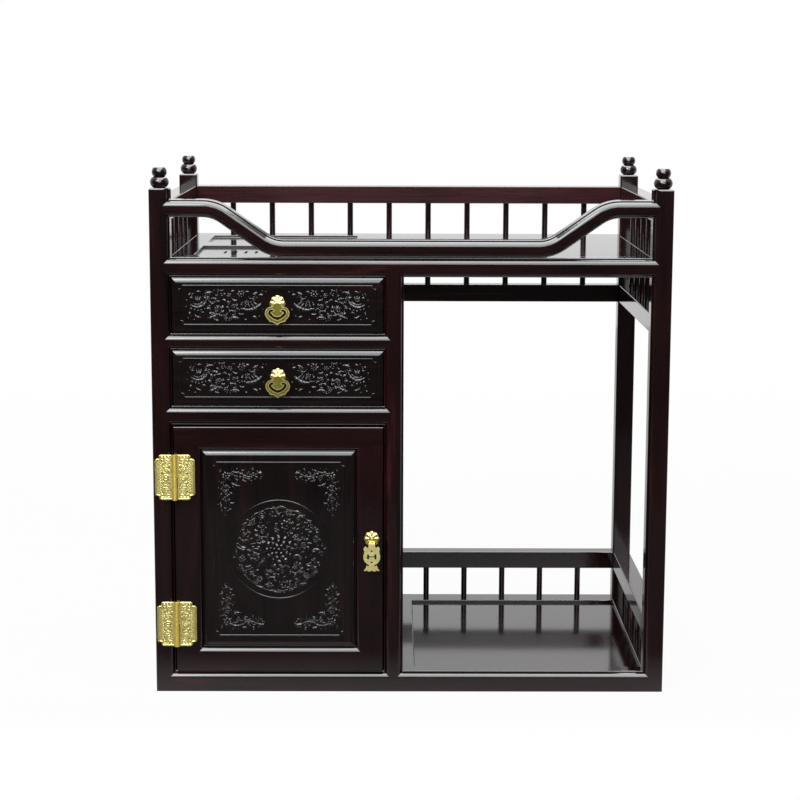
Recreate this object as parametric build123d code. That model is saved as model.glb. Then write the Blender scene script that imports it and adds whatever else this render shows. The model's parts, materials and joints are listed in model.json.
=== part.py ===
"""Tea cabinet in lacquered hardwood: galleried table top with a drain tray, two drawers, a hinged door
and an open bay with a railed shelf.

The frame is millimetres, +Z up, front towards -Y, origin on the floor at the centre of the footprint.
Every piece is one node, written to parts/NODE.step.
"""

import os
from math import cos, pi, radians, sin, tan

from build123d import *

# ---------------------------------------------------------------- driving dimensions
WIDTH = 800.0  # over the outer faces of the posts
DEPTH = 480.0  # over the front and rear faces of the posts
TABLE = 687.0  # floor to tea surface
POST = 31.0  # corner posts, square
MID_POST = 30.0  # middle posts, across
MID_X = -26.0  # centre of the middle posts
POST_ABOVE = 105.0  # post shoulder above the tea surface
EASE = 2.5  # rounding of a post's plain arris
SHOULDER = 2.0  # chamfer round a post's top

LIP = 2.4  # thin bead along every opening of the front
ROUND = 7.8  # quarter round behind the thin bead
NIB = 8.6  # thickness of the mitred nib at a front rail's end
TENON = 9.0  # depth of a tenon in its post
TENON_THICK = 8.0
TENON_SHOULDER = 5.0  # from a rail's edge to its tenon
TENON_OFF = 3.5  # forward of the middle in front rails, and in from the rear face in rear rails
TONGUE = 5.0  # depth of a panel's edge in its groove

TOP_RAIL = 30.0  # height of the rails round the table top
TOP_PANEL = 18.0
PANEL_TONGUE_THICK = 8.0
PANEL_TONGUE_UP = 2.0  # from the table top panel's lower face to its tongue
BASE_RAIL = 32.0  # height of the rails on the floor
BASE_REAR = 42.0  # depth of the rear base rail
BASE_MIDDLE = 49.0  # width of the base rail under the partition
RAIL = 30.0  # height of the plain gallery and apron rails
RAIL_THICK = 29.0
RAIL_EASE = 1.5
SPINDLE = 10.0  # diameter

GALLERY_TOP = 85.0  # top of the side and rear gallery rails above the tea surface
CLOUD_HEIGHT = 27.0  # height of the front gallery rail, square to its run
CLOUD_DEPTH = 28.0
CLOUD_END = 88.0  # top of its raised ends above the tea surface
CLOUD_MID = 257.0  # half the distance between the middles of its two slopes
CLOUD_SLOPE = 35.0  # degrees
CLOUD_BEND = 60.0  # bend radius on its centre line
APRON_TOP = 600.0  # floor to the top of the apron rails in the open bay
SHELF_GALLERY_TOP = 118.0  # floor to the top of the rails round the shelf
REAR_SPINDLES = 10
BAY_SPINDLES = 5
SIDE_SPINDLES = 5
SPINDLE_PITCH = 68.3  # along the rear

FINIAL_LOWER = (14.4, 17.5)  # radius and height of the lower ball
FINIAL_UPPER = (11.6, 13.5)  # and of the upper ball
FINIAL_NECK = 8.6  # radius at the waist and foot
FINIAL_DOWEL = (4.0, 12.0)  # radius and length of its dowel

DRAWER_OPENING = 87.5  # height
DIVIDER_UPPER = 25.5  # height of the rail between the drawers
DIVIDER_LOWER = 30.0  # height of the rail above the door
DRAWER_GAP = 1.5  # round a drawer front
DRAWER_FRONT = 20.0  # thickness
DRAWER_BEHIND = 26.5  # from a drawer's back to the rear posts' inner faces
DRAWER_SIDE = 11.0  # thickness
DRAWER_SIDE_HEIGHT = 84.0
DRAWER_SIDE_GAP = 2.0  # between a side and the posts
DRAWER_BOTTOM = 6.0
DRAWER_BOTTOM_UP = 8.0  # from a side's lower edge to the bottom board
DRAWER_LIFT = 0.3  # running clearance under the sides
RUNNER_LEDGE = 14.0  # width under a drawer's side
RUNNER_GUIDE = 20.0  # height of its guide
FIELD_BACK = 2.5  # a carved field's face, behind the frame's face
PANEL_ROUND = 6.0  # quarter round at a carved front's edge
RING = 3.2  # width of the raised bead round a carved field
RING_PROUD = 1.5
RING_NOTCH = 6.0  # radius of its indented corners
DRAWER_RING_INSET = 10.5
DOOR_RING_INSET = 15.5

DOOR_GAP = 2.0
DOOR_THICK = 22.0
STILE = 44.0
DOOR_RAIL = 39.5
DOOR_LIP = 2.5
DOOR_ROUND = 8.0
DOOR_PANEL_THICK = 12.0
MEDALLION = 80.0  # radius of the ring in the middle of the door panel
MEDALLION_RING = 3.0
CATCH = (30.0, 12.0)  # width, and the square of its end
CATCH_IN = 25.0  # its middle, from the door's free edge
CATCH_GAP = 0.3  # between the magnet and the plate it holds
STRIKE = 1.0  # thickness of that plate
STRIKE_SIDE = 4.0  # how much narrower it is than the magnet, at each end

SIDE_PANEL_THICK = 10.0
SIDE_PANEL_BACK = 8.0  # behind the posts' outer faces
BACK_PANEL_THICK = 8.0
BACK_PANEL_IN = 6.0
PARTITION = 10.0
FLOOR_THICK = 12.0
FLOOR_DOWN = 2.0  # cabinet floor below the base rails' top
SHELF_DOWN = 5.0  # shelf panel below the base rails' top

TRAY_WIDTH = 248.0
TRAY_SIDE = 32.0  # from the left top rail to the trays
TRAY_FRONT = 22.0  # from the front top rail to the drain tray
DRAIN_TRAY = 170.0  # front to back
TRAY_BRIDGE = 68.0  # between the drain tray and the sunk tray
SUNK_TRAY = 139.0
TRAY_DOWN = 4.0  # floor of both below the tea surface
TRAY_LEDGE = 8.0
BOARD_THICK = 8.0
BOARD_GAP = 0.5  # round the board
SEAT_GAP = 0.3  # under what lifts out
PAN_WALL = 1.0
PAN_DEPTH = 14.0
PAN_CLEAR = 1.5
SLOT = (4.0, 40.0)  # width and length
SLOT_PITCH = 16.4
SLOTS = 11

HINGE_LEAF = (31.0, 71.5, 1.8)  # width from the axis, height, thickness
HINGE_STEP = 6.5  # stepped corner of a leaf
HINGE_CORNER = 3.6
KNUCKLE = 4.0  # radius
KNUCKLE_GAP = 0.4
KNUCKLE_OUT = 0.3  # between the knuckles and the frame's face
HINGE_PIN = 1.5  # radius
PIN_CLEAR = 0.05
HINGE_OFF = 1.0  # axis to the door's edge
HINGE_UPPER = 345.0  # height of the hinges' centres
HINGE_LOWER = 110.0

PULL_X = -205.0  # drawer pulls, centred across the fronts
PULL_UP = 4.0  # drawer pendants' pivots above the middle of the fronts
DOOR_PULL_IN = 17.0  # from the door's free edge
DOOR_PULL_Z = 240.0
ROSETTE = 12.0  # radius
ROSETTE_UP = (0.0, 8.0)  # centre above the pendant's pivot, on a drawer and on the door
ROSETTE_PLATE = 1.0
ROSETTE_DOME = (10.0, 2.6)  # base radius and height
PETAL = 4.4  # radius of the plate's petals
PETALS = 8
EAR = (1.6, 2.4)  # thickness and distance from the middle
PIVOT_OUT = 5.6  # pendant pivot in front of the field
PIVOT_PIN = 1.0  # radius
PIN_HEAD = 0.3  # how far it stands out of each ear
PENDANT_THICK = 1.6
PENDANT_OUT = 2.3  # from the pivot forward to the pendant's back
PENDANT_TOP = 1.4  # from the pivot up to the pendant's top edge
PENDANT_KNUCKLE = 1.8
PENDANT_KNUCKLE_HALF = 2.1

# ---------------------------------------------------------------- places worked out from them
PULL_PROUD = PIVOT_OUT + PENDANT_OUT + PENDANT_THICK
FRONT = -(DEPTH + PULL_PROUD) / 2 + PULL_PROUD
REAR = FRONT + DEPTH
LEFT, RIGHT = -WIDTH / 2, WIDTH / 2
LEFT_IN, RIGHT_IN = LEFT + POST, RIGHT - POST
FRONT_IN, REAR_IN = FRONT + POST, REAR - POST
MID_L, MID_R = MID_X - MID_POST / 2, MID_X + MID_POST / 2
REACH = LIP + ROUND  # width of the front's moulding

UNDER = TABLE - TOP_RAIL
POST_TOP = TABLE + POST_ABOVE
UPPER_SILL = UNDER - DRAWER_OPENING
LOWER_HEAD = UPPER_SILL - DIVIDER_UPPER
LOWER_SILL = LOWER_HEAD - DRAWER_OPENING
DOOR_HEAD = LOWER_SILL - DIVIDER_LOWER
RAIL_INSET = (POST - RAIL_THICK) / 2
PLAIN_FRONT = REAR - RAIL_INSET - RAIL_THICK
SHELF_LEFT = MID_L + BASE_MIDDLE
SHELF_REAR = REAR - BASE_REAR

parts = {}


# ---------------------------------------------------------------- shapes used again and again
def box(x0, x1, y0, y1, z0, z1):
    """A block between two corners."""
    return Pos(x0, y0, z0) * Box(x1 - x0, y1 - y0, z1 - z0, align=(Align.MIN,) * 3)


def bar(x0, x1, y0, y1, z0, z1, ease=RAIL_EASE):
    """A block with its four long edges rounded."""
    block = box(x0, x1, y0, y1, z0, z1)
    axis = max(((x1 - x0, Axis.X), (y1 - y0, Axis.Y), (z1 - z0, Axis.Z)), key=lambda pair: pair[0])[1]
    return fillet(block.edges().filter_by(axis), ease)


def across(radius, length, x, y, z):
    """A round bar along X, centred on a point."""
    return Pos(x, y, z) * (Rot(0, 90, 0) * Cylinder(radius, length))


def upright(radius, z0, z1, x, y):
    """A round bar along Z."""
    return Pos(x, y, z0) * Cylinder(radius, z1 - z0, align=(Align.CENTER, Align.CENTER, Align.MIN))


def facing(y):
    """Plane in front view at depth y: its x is +X and its y is +Z."""
    return Plane(origin=(0, y, 0), x_dir=(1, 0, 0), z_dir=(0, -1, 0))


def prism(face, y0, y1):
    """A front-view outline run back from y0 to y1."""
    return extrude(facing(y0) * face, y1 - y0, dir=(0, 1, 0))


def outline(*points):
    """Face inside straight lines."""
    return make_face(Polyline(*points, close=True))


def section(width, depth, low, high, lip=LIP, radius=ROUND):
    """Cross section of a front member, x across it and y back from its face.

    low and high say what each edge has: "mould" for the thin bead and quarter round, or a rounding radius.
    """
    lines = Curve() + [Line((0, depth), (width, depth))]
    for style, at in ((low, lambda x: x), (high, lambda x: width - x)):
        if style == "mould":
            bulge = radius * (1 - cos(pi / 4))
            lines += [
                Line((at(0), depth), (at(0), radius)),
                ThreePointArc((at(0), radius), (at(lip / 2), radius - lip / 2), (at(lip), radius)),
                ThreePointArc((at(lip), radius), (at(lip + bulge), bulge), (at(lip + radius), 0)),
            ]
        elif style:
            bulge = style * (1 - cos(pi / 4))
            lines += [
                Line((at(0), depth), (at(0), style)),
                ThreePointArc((at(0), style), (at(bulge), bulge), (at(style), 0)),
            ]
        else:
            lines += [Line((at(0), depth), (at(0), 0))]
    starts = [lip + radius if style == "mould" else style for style in (low, high)]
    lines += [Line((starts[0], 0), (width - starts[1], 0))]
    return make_face(lines)


def along_x(face, x0, x1, y, z):
    """A cross section, its x pointing up, run from x0 to x1."""
    plane = Plane(origin=(x1, y, z), x_dir=(0, 0, 1), z_dir=(-1, 0, 0))
    return extrude(plane * face, x1 - x0, dir=(-1, 0, 0))


def along_z(face, x, y, z0, z1):
    """A cross section, its x pointing right, run from z0 to z1."""
    return extrude(Pos(x, y, z0) * face, z1 - z0, dir=(0, 0, 1))


def tip(x, side, z0, z1, low, high):
    """Mitred nib of a rail's front at a post's inner face x, pointing to side (-1 or 1)."""
    floor = z0 + REACH if low else max(z1 - 2 * REACH, z0)
    ceiling = z1 - REACH if high else min(z0 + 2 * REACH, z1)
    points = [(x, z0)] if low else [(x, floor)]
    points += [(x + side * REACH, floor)] if low else []
    points += [(x + side * REACH, ceiling)] if high else []
    points += [(x, z1)] if high else [(x, ceiling)]
    return prism(outline(*points), FRONT, FRONT + NIB)


def tenon_y(depth):
    """Where a front rail's tenon lies, front to back."""
    start = FRONT + ROUND + (depth - ROUND - TENON_THICK) / 2 - TENON_OFF
    return start, start + TENON_THICK


def front_rail(x0, x1, z0, z1, depth=POST, low="mould", high="mould"):
    """A moulded front rail between two posts, and the pocket that its ends need in them."""
    nibs = [tip(x, side, z0, z1, low == "mould", high == "mould") for x, side in ((x0, -1), (x1, 1))]
    y0, y1 = tenon_y(depth)
    tenons = [
        box(*sorted((x, x + side * TENON)), y0, y1, z0 + TENON_SHOULDER, z1 - TENON_SHOULDER)
        for x, side in ((x0, -1), (x1, 1))
    ]
    run = along_x(section(z1 - z0, depth, low, high), x0 - REACH, x1 + REACH, FRONT, z0)
    rail = run & (box(x0, x1, FRONT, FRONT + depth, z0, z1) + nibs)
    return rail + tenons, nibs + tenons


def plain_rail_y(x0, x1, z0, z1):
    """A plain rail front to back between a front and a rear post, with a tenon at each end."""
    near = (x0 + x1 - TENON_THICK) / 2
    rail = bar(x0, x1, FRONT_IN, REAR_IN, z0, z1)
    return rail + [
        box(near, near + TENON_THICK, y, y + TENON, z0 + TENON_SHOULDER, z1 - TENON_SHOULDER)
        for y in (FRONT_IN - TENON, REAR_IN)
    ]


def plain_rail_x(x0, x1, y0, y1, z0, z1):
    """A plain rail side to side between two rear posts, with a tenon at each end."""
    back = y1 - TENON_THICK - TENON_OFF
    rail = bar(x0, x1, y0, y1, z0, z1)
    return rail + [
        box(x, x + TENON, back, back + TENON_THICK, z0 + TENON_SHOULDER, z1 - TENON_SHOULDER)
        for x in (x0 - TENON, x1)
    ]


def spread(start, end, count):
    """Even places between two faces."""
    step = (end - start) / (count + 1)
    return [start + step * (i + 1) for i in range(count)]


# ---------------------------------------------------------------- posts
def shouldered(x0, y0):
    """The square block that a corner post is made from, chamfered round its top."""
    block = box(x0, x0 + POST, y0, y0 + POST, 0, POST_TOP)
    return chamfer(block.faces().sort_by(Axis.Z)[-1].edges(), SHOULDER)


def front_post(x0, inner):
    """A front corner post; inner is the side of its moulded arris, which is left square below the base rail's nib."""
    low, high = (EASE, "mould") if inner == "right" else ("mould", EASE)
    post = along_z(section(POST, POST, low, high), x0, FRONT, 0, POST_TOP)
    x, deep = (x0 + POST, x0 + POST - REACH) if inner == "right" else (x0, x0 + REACH)
    foot = outline((x, 0), (deep, 0), (deep, BASE_RAIL - REACH), (x, BASE_RAIL - 2 * REACH))
    return (post + prism(foot, FRONT, FRONT + NIB)) & shouldered(x0, FRONT)


def rear_post(x0):
    """A rear corner post, square with rounded arrises."""
    return bar(x0, x0 + POST, REAR_IN, REAR, 0, POST_TOP, EASE) & shouldered(x0, REAR_IN)


def middle_front_post():
    """The front middle post, moulded on both sides and mitred into the rails above and below."""
    nibs = []
    for z, side in ((BASE_RAIL, -1), (UNDER, 1)):
        points = [(MID_L, z), (MID_L + REACH, z + side * REACH), (MID_R - REACH, z + side * REACH), (MID_R, z)]
        nibs.append(prism(outline(*points), FRONT, FRONT + NIB))
    run = along_z(section(MID_POST, POST, "mould", "mould"), MID_L, FRONT, BASE_RAIL - REACH, UNDER + REACH)
    post = run & (box(MID_L, MID_R, FRONT, FRONT_IN, BASE_RAIL, UNDER) + nibs)
    y0, y1 = tenon_y(POST)
    tenons = [
        box(MID_L + TENON_SHOULDER, MID_R - TENON_SHOULDER, y0, y1, z, z + TENON)
        for z in (BASE_RAIL - TENON, UNDER)
    ]
    return post + tenons, nibs + tenons


def turned_ball(foot, ball):
    """Half profile of one turned ball that stands at height foot."""
    radius, height = ball
    return ThreePointArc((FINIAL_NECK, foot), (radius, foot + height / 2), (FINIAL_NECK, foot + height))


def finial(x, y):
    """Two turned balls on a dowel, on top of a corner post."""
    dowel, length = FINIAL_DOWEL
    neck = FINIAL_LOWER[1]
    top = neck + FINIAL_UPPER[1]
    profile = Curve() + [
        Line((0, -length), (dowel, -length)),
        Line((dowel, -length), (dowel, 0)),
        Line((dowel, 0), (FINIAL_NECK, 0)),
        turned_ball(0, FINIAL_LOWER),
        turned_ball(neck, FINIAL_UPPER),
        Line((FINIAL_NECK, top), (0, top)),
        Line((0, top), (0, -length)),
    ]
    return Pos(x, y, POST_TOP) * revolve(Plane.XZ * make_face(profile), Axis.Z)


def build_posts():
    parts["post_front_left"] = front_post(LEFT, "right")
    parts["post_front_right"] = front_post(RIGHT_IN, "left")
    parts["post_rear_left"] = rear_post(LEFT)
    parts["post_rear_right"] = rear_post(RIGHT_IN)
    parts["post_middle_front"], pocket = middle_front_post()
    rear_y = PLAIN_FRONT, REAR - RAIL_INSET
    parts["post_middle_rear"] = bar(MID_L, MID_R, *rear_y, BASE_RAIL, UNDER)
    corners = [(x, y) for x in (LEFT + POST / 2, RIGHT - POST / 2) for y in (FRONT + POST / 2, REAR - POST / 2)]
    parts["finials"] = Part() + [finial(x, y) for x, y in corners]
    return pocket


# ---------------------------------------------------------------- rails
def cloud_path():
    """Centre line of the front gallery rail in front view, from left to right."""
    high = TABLE + CLOUD_END - CLOUD_HEIGHT / 2
    low = TABLE + CLOUD_HEIGHT / 2
    half_run = (high - low) / 2 / tan(radians(CLOUD_SLOPE))
    outer, inner = CLOUD_MID + half_run, CLOUD_MID - half_run
    points = [(LEFT_IN - REACH, high), (-outer, high), (-inner, low), (inner, low), (outer, high)]
    points.append((RIGHT_IN + REACH, high))
    return FilletPolyline(*points, radius=CLOUD_BEND)


def cloud_rail():
    """Front gallery rail: a moulded bar that dips in the middle to lie on the front top rail."""
    face = Pos(-CLOUD_HEIGHT / 2, 0) * section(CLOUD_HEIGHT, CLOUD_DEPTH, "mould", "mould")
    path = facing(FRONT) * cloud_path()
    start = path @ 0
    plane = Plane(origin=start, x_dir=(0, 0, 1), z_dir=(-1, 0, 0))
    run = sweep(plane * face, path=path)
    z1 = TABLE + CLOUD_END
    z0 = z1 - CLOUD_HEIGHT
    nibs = [tip(x, side, z0, z1, True, True) for x, side in ((LEFT_IN, -1), (RIGHT_IN, 1))]
    y0, y1 = tenon_y(CLOUD_DEPTH)
    tenons = [
        box(*sorted((x, x + side * TENON)), y0, y1, z0 + TENON_SHOULDER, z1 - TENON_SHOULDER)
        for x, side in ((LEFT_IN, -1), (RIGHT_IN, 1))
    ]
    rail = run & (box(LEFT_IN, RIGHT_IN, FRONT, FRONT + CLOUD_DEPTH, TABLE, z1) + nibs)
    return rail + tenons, nibs + tenons


def build_front_rails():
    """The moulded rails of the front, each kept with the pocket it needs."""
    pockets = {}
    top = front_rail(LEFT_IN, RIGHT_IN, UNDER, TABLE)
    upper = front_rail(LEFT_IN, MID_L, LOWER_HEAD, UPPER_SILL)
    lower = front_rail(LEFT_IN, MID_L, DOOR_HEAD, LOWER_SILL)
    base = front_rail(LEFT_IN, RIGHT_IN, 0, BASE_RAIL, low=0)
    named = {
        "cloud_rail": cloud_rail(),
        "top_rail_front": top,
        "divider_upper": upper,
        "divider_lower": lower,
        "base_rail_front": base,
    }
    for name, (rail, pocket) in named.items():
        parts[name] = rail
        pockets[name] = pocket
    return pockets


def build_plain_rails():
    side_x = ((LEFT + RAIL_INSET, LEFT + RAIL_INSET + RAIL_THICK), (RIGHT - RAIL_INSET - RAIL_THICK, RIGHT - RAIL_INSET))
    right_x = side_x[1]
    rear_y = (PLAIN_FRONT, REAR - RAIL_INSET)
    top = TABLE + GALLERY_TOP
    parts["gallery_rails_side"] = Part() + [plain_rail_y(*x, top - RAIL, top) for x in side_x]
    parts["gallery_rail_rear"] = plain_rail_x(LEFT_IN, RIGHT_IN, *rear_y, top - RAIL, top)
    parts["top_rails_side"] = Part() + [plain_rail_y(x0, x0 + POST, UNDER, TABLE) for x0 in (LEFT, RIGHT_IN)]
    parts["top_rail_rear"] = plain_rail_x(LEFT_IN, RIGHT_IN, REAR_IN, REAR, UNDER, TABLE)
    parts["base_rails_side"] = Part() + [plain_rail_y(x0, x0 + POST, 0, BASE_RAIL) for x0 in (LEFT, RIGHT_IN)]
    parts["base_rail_rear"] = plain_rail_x(LEFT_IN, RIGHT_IN, SHELF_REAR, REAR, 0, BASE_RAIL)
    parts["base_rail_middle"] = bar(MID_L, SHELF_LEFT, FRONT_IN, SHELF_REAR, 0, BASE_RAIL)
    parts["apron_rail_rear"] = plain_rail_x(MID_R, RIGHT_IN, *rear_y, APRON_TOP - RAIL, APRON_TOP)
    parts["apron_rail_right"] = plain_rail_y(*right_x, APRON_TOP - RAIL, APRON_TOP)
    shelf = SHELF_GALLERY_TOP
    parts["shelf_rail_rear"] = plain_rail_x(MID_R, RIGHT_IN, *rear_y, shelf - RAIL, shelf)
    parts["shelf_rail_right"] = plain_rail_y(*right_x, shelf - RAIL, shelf)


def build_spindles():
    rear_y = (PLAIN_FRONT + REAR - RAIL_INSET) / 2
    first = -SPINDLE_PITCH * (REAR_SPINDLES - 1) / 2
    rear_x = [first + SPINDLE_PITCH * i for i in range(REAR_SPINDLES)]
    bay_x = [x for x in rear_x if x > MID_R + SPINDLE][:BAY_SPINDLES]
    side_y = spread(FRONT_IN, REAR_IN, SIDE_SPINDLES)
    left, right = LEFT + POST / 2, RIGHT - POST / 2
    levels = {
        "gallery_spindles": (TABLE, TABLE + GALLERY_TOP - RAIL, rear_x, (left, right)),
        "apron_spindles": (APRON_TOP, UNDER, bay_x, (right,)),
        "shelf_spindles": (BASE_RAIL, SHELF_GALLERY_TOP - RAIL, bay_x, (right,)),
    }
    for name, (z0, z1, rear_row, sides) in levels.items():
        places = [(x, rear_y) for x in rear_row] + [(x, y) for x in sides for y in side_y]
        parts[name] = Part() + [upright(SPINDLE / 2, z0, z1, x, y) for x, y in places]


# ---------------------------------------------------------------- panels
def tray_places():
    """Left, right, front and rear of the drain tray and of the sunk tray."""
    x0 = LEFT_IN + TRAY_SIDE
    y0 = FRONT_IN + TRAY_FRONT
    y1 = y0 + DRAIN_TRAY
    y2 = y1 + TRAY_BRIDGE
    return (x0, x0 + TRAY_WIDTH, y0, y1), (x0, x0 + TRAY_WIDTH, y2, y2 + SUNK_TRAY)


def tabletop():
    """Floating panel of the table top, with the drain tray's opening and the sunk tray."""
    z0 = TABLE - TOP_PANEL
    panel = box(LEFT_IN, RIGHT_IN, FRONT_IN, REAR_IN, z0, TABLE)
    edge = TONGUE
    low = z0 + PANEL_TONGUE_UP
    panel += box(LEFT_IN - edge, RIGHT_IN + edge, FRONT_IN - edge, REAR_IN + edge, low, low + PANEL_TONGUE_THICK)
    corners = [(x, y) for x in (LEFT_IN, RIGHT_IN + edge) for y in (FRONT_IN, REAR_IN + edge)]
    for x, y in corners:
        panel -= box(x - edge, x, y - edge, y, z0, TABLE)
    (x0, x1, y0, y1), sunk = tray_places()
    shelf = TABLE - TRAY_DOWN - BOARD_THICK - PAN_WALL - SEAT_GAP
    panel -= box(x0, x1, y0, y1, shelf, TABLE)
    panel -= box(x0 + TRAY_LEDGE, x1 - TRAY_LEDGE, y0 + TRAY_LEDGE, y1 - TRAY_LEDGE, z0, TABLE)
    return panel - box(*sunk, TABLE - TRAY_DOWN, TABLE)


def build_tray():
    """The slotted drain board and the catch pan that hangs under it; they lift out together."""
    (x0, x1, y0, y1), _ = tray_places()
    top = TABLE - TRAY_DOWN
    under = top - BOARD_THICK
    board = box(x0 + BOARD_GAP, x1 - BOARD_GAP, y0 + BOARD_GAP, y1 - BOARD_GAP, under, top)
    first = (x0 + x1) / 2 - SLOT_PITCH * (SLOTS - 1) / 2
    cut = SlotOverall(SLOT[1], SLOT[0], rotation=90)
    for i in range(SLOTS):
        board -= Pos(first + SLOT_PITCH * i, (y0 + y1) / 2, under) * extrude(cut, BOARD_THICK)
    parts["drain_board"] = board
    inset = TRAY_LEDGE + PAN_CLEAR
    floor = under - PAN_DEPTH
    flange = box(x0 + BOARD_GAP, x1 - BOARD_GAP, y0 + BOARD_GAP, y1 - BOARD_GAP, under - PAN_WALL, under)
    well = box(x0 + inset, x1 - inset, y0 + inset, y1 - inset, floor, under)
    w = inset + PAN_WALL
    hollow = box(x0 + w, x1 - w, y0 + w, y1 - w, floor + PAN_WALL, under)
    parts["catch_pan"] = flange + well - hollow


def floor_panel(x0, x1, top):
    """A panel between the base rails, its surface clear of them and its tongue in their grooves."""
    low = top - FLOOR_THICK
    tongue = box(x0 - TONGUE, x1 + TONGUE, FRONT_IN - TONGUE, SHELF_REAR + TONGUE, low, low + PANEL_TONGUE_THICK)
    return box(x0, x1, FRONT_IN, SHELF_REAR, low, top) + tongue


def build_panels():
    """Panels whose edges sit in grooves of the rails and posts round them."""
    t = TONGUE
    inner = LEFT + SIDE_PANEL_BACK
    parts["tabletop_panel"] = tabletop()
    parts["side_panel"] = box(
        inner, inner + SIDE_PANEL_THICK, FRONT_IN - t, REAR_IN + t, BASE_RAIL - t, UNDER + t
    )
    parts["partition_panel"] = box(
        MID_X - PARTITION / 2, MID_X + PARTITION / 2, FRONT_IN - t, PLAIN_FRONT + t, BASE_RAIL - t, TABLE - TOP_PANEL
    )
    back = REAR - BACK_PANEL_IN
    parts["back_panel"] = box(LEFT_IN - t, MID_L + t, back - BACK_PANEL_THICK, back, BASE_RAIL - t, UNDER + t)
    parts["cabinet_floor"] = floor_panel(LEFT_IN, MID_L, BASE_RAIL - FLOOR_DOWN)
    parts["shelf_panel"] = floor_panel(SHELF_LEFT, RIGHT_IN, BASE_RAIL - SHELF_DOWN)


def cut_seats(post_pocket, rail_pockets):
    """Mortises, mitred pockets and grooves: each piece is cut by what enters it."""
    corner_posts = ["post_front_left", "post_front_right"]
    rear_posts = ["post_rear_left", "post_rear_right"]
    base_rails = ["base_rail_front", "base_rail_rear", "base_rail_middle", "base_rails_side"]
    entering = {name: [] for name in parts}
    for name, pocket in rail_pockets.items():
        ends = corner_posts if name in ("cloud_rail", "top_rail_front", "base_rail_front") else corner_posts[:1]
        for post in ends + ([] if len(ends) == 2 else ["post_middle_front"]):
            entering[post] += pocket
    for rail in ("top_rail_front", "base_rail_front"):
        entering[rail] += post_pocket
    plain_into = {
        "gallery_rails_side": corner_posts + rear_posts,
        "top_rails_side": corner_posts + rear_posts,
        "base_rails_side": corner_posts + rear_posts,
        "gallery_rail_rear": rear_posts,
        "top_rail_rear": rear_posts,
        "base_rail_rear": rear_posts + ["base_rails_side"],
        "apron_rail_rear": ["post_middle_rear", "post_rear_right"],
        "apron_rail_right": ["post_front_right", "post_rear_right"],
        "shelf_rail_rear": ["post_middle_rear", "post_rear_right"],
        "shelf_rail_right": ["post_front_right", "post_rear_right"],
        "finials": corner_posts + rear_posts,
        "tabletop_panel": ["top_rail_front", "top_rail_rear", "top_rails_side"],
        "side_panel": ["post_front_left", "post_rear_left", "top_rails_side", "base_rails_side"],
        "partition_panel": [
            "post_middle_front",
            "post_middle_rear",
            "base_rail_front",
            "base_rail_middle",
            "base_rail_rear",
            "top_rail_front",
            "top_rail_rear",
        ],
        "back_panel": ["post_rear_left", "post_middle_rear", "top_rail_rear", "base_rail_rear"],
        "cabinet_floor": base_rails + corner_posts + rear_posts,
        "shelf_panel": base_rails + corner_posts + rear_posts,
    }
    for name, into in plain_into.items():
        for piece in into:
            entering[piece] += parts[name].solids()
    for piece, cutters in entering.items():
        reach = parts[piece].bounding_box()
        near = [c for c in cutters if overlaps(reach, c.bounding_box())]
        if near:
            parts[piece] = parts[piece] - near


def overlaps(a, b):
    """Whether two bounding boxes share space."""
    return all(
        getattr(a.min, axis) < getattr(b.max, axis) and getattr(b.min, axis) < getattr(a.max, axis)
        for axis in "XYZ"
    )


# ---------------------------------------------------------------- carved fronts
def notched(x0, x1, z0, z1, notch):
    """Rectangle with a quarter circle taken out of each corner."""
    face = outline((x0, z0), (x1, z0), (x1, z1), (x0, z1))
    return face - [Pos(x, z) * Circle(notch) for x in (x0, x1) for z in (z0, z1)]


def ring(x0, x1, z0, z1, y):
    """Raised bead with indented corners, standing on the face at y."""
    outer = notched(x0, x1, z0, z1, RING_NOTCH)
    inner = notched(x0 + RING, x1 - RING, z0 + RING, z1 - RING, RING_NOTCH)
    return prism(outer - inner, y - RING_PROUD, y)


def carved_front(x0, x1, z0, z1, face, thick, inset):
    """A board with a quarter round all along its edge and the raised ring on its face."""
    board = box(x0, x1, face, face + thick, z0, z1)
    board = fillet(board.faces().sort_by(Axis.Y)[0].edges(), PANEL_ROUND)
    return board + ring(x0 + inset, x1 - inset, z0 + inset, z1 - inset, face)


# ---------------------------------------------------------------- drawers
def build_drawer(level, z0):
    """One drawer whose opening's sill is at z0."""
    x0, x1 = LEFT_IN + DRAWER_GAP, MID_L - DRAWER_GAP
    face = FRONT + FIELD_BACK
    front = carved_front(
        x0, x1, z0 + DRAWER_GAP, z0 + DRAWER_OPENING - DRAWER_GAP, face, DRAWER_FRONT, DRAWER_RING_INSET
    )
    left, right = LEFT_IN + DRAWER_SIDE_GAP, MID_L - DRAWER_SIDE_GAP
    behind, end = face + DRAWER_FRONT, REAR_IN - DRAWER_BEHIND
    low, high = z0 + DRAWER_LIFT, z0 + DRAWER_LIFT + DRAWER_SIDE_HEIGHT
    sides = [box(x, x + DRAWER_SIDE, behind, end, low, high) for x in (left, right - DRAWER_SIDE)]
    back = box(left + DRAWER_SIDE, right - DRAWER_SIDE, end - DRAWER_SIDE, end, low, high - DRAWER_BOTTOM)
    bottom = box(
        left + DRAWER_SIDE - TONGUE,
        right - DRAWER_SIDE + TONGUE,
        behind - TONGUE,
        end - DRAWER_SIDE + TONGUE,
        low + DRAWER_BOTTOM_UP,
        low + DRAWER_BOTTOM_UP + DRAWER_BOTTOM,
    )
    parts["drawer_front_" + level] = front - bottom
    parts["drawer_sides_" + level] = Part() + [side - bottom for side in sides]
    parts["drawer_back_" + level] = back - bottom
    parts["drawer_bottom_" + level] = bottom
    build_pull(level, PULL_X, z0 + DRAWER_OPENING / 2 + PULL_UP, face, drawer_pendant(), ROSETTE_UP[0])


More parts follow.
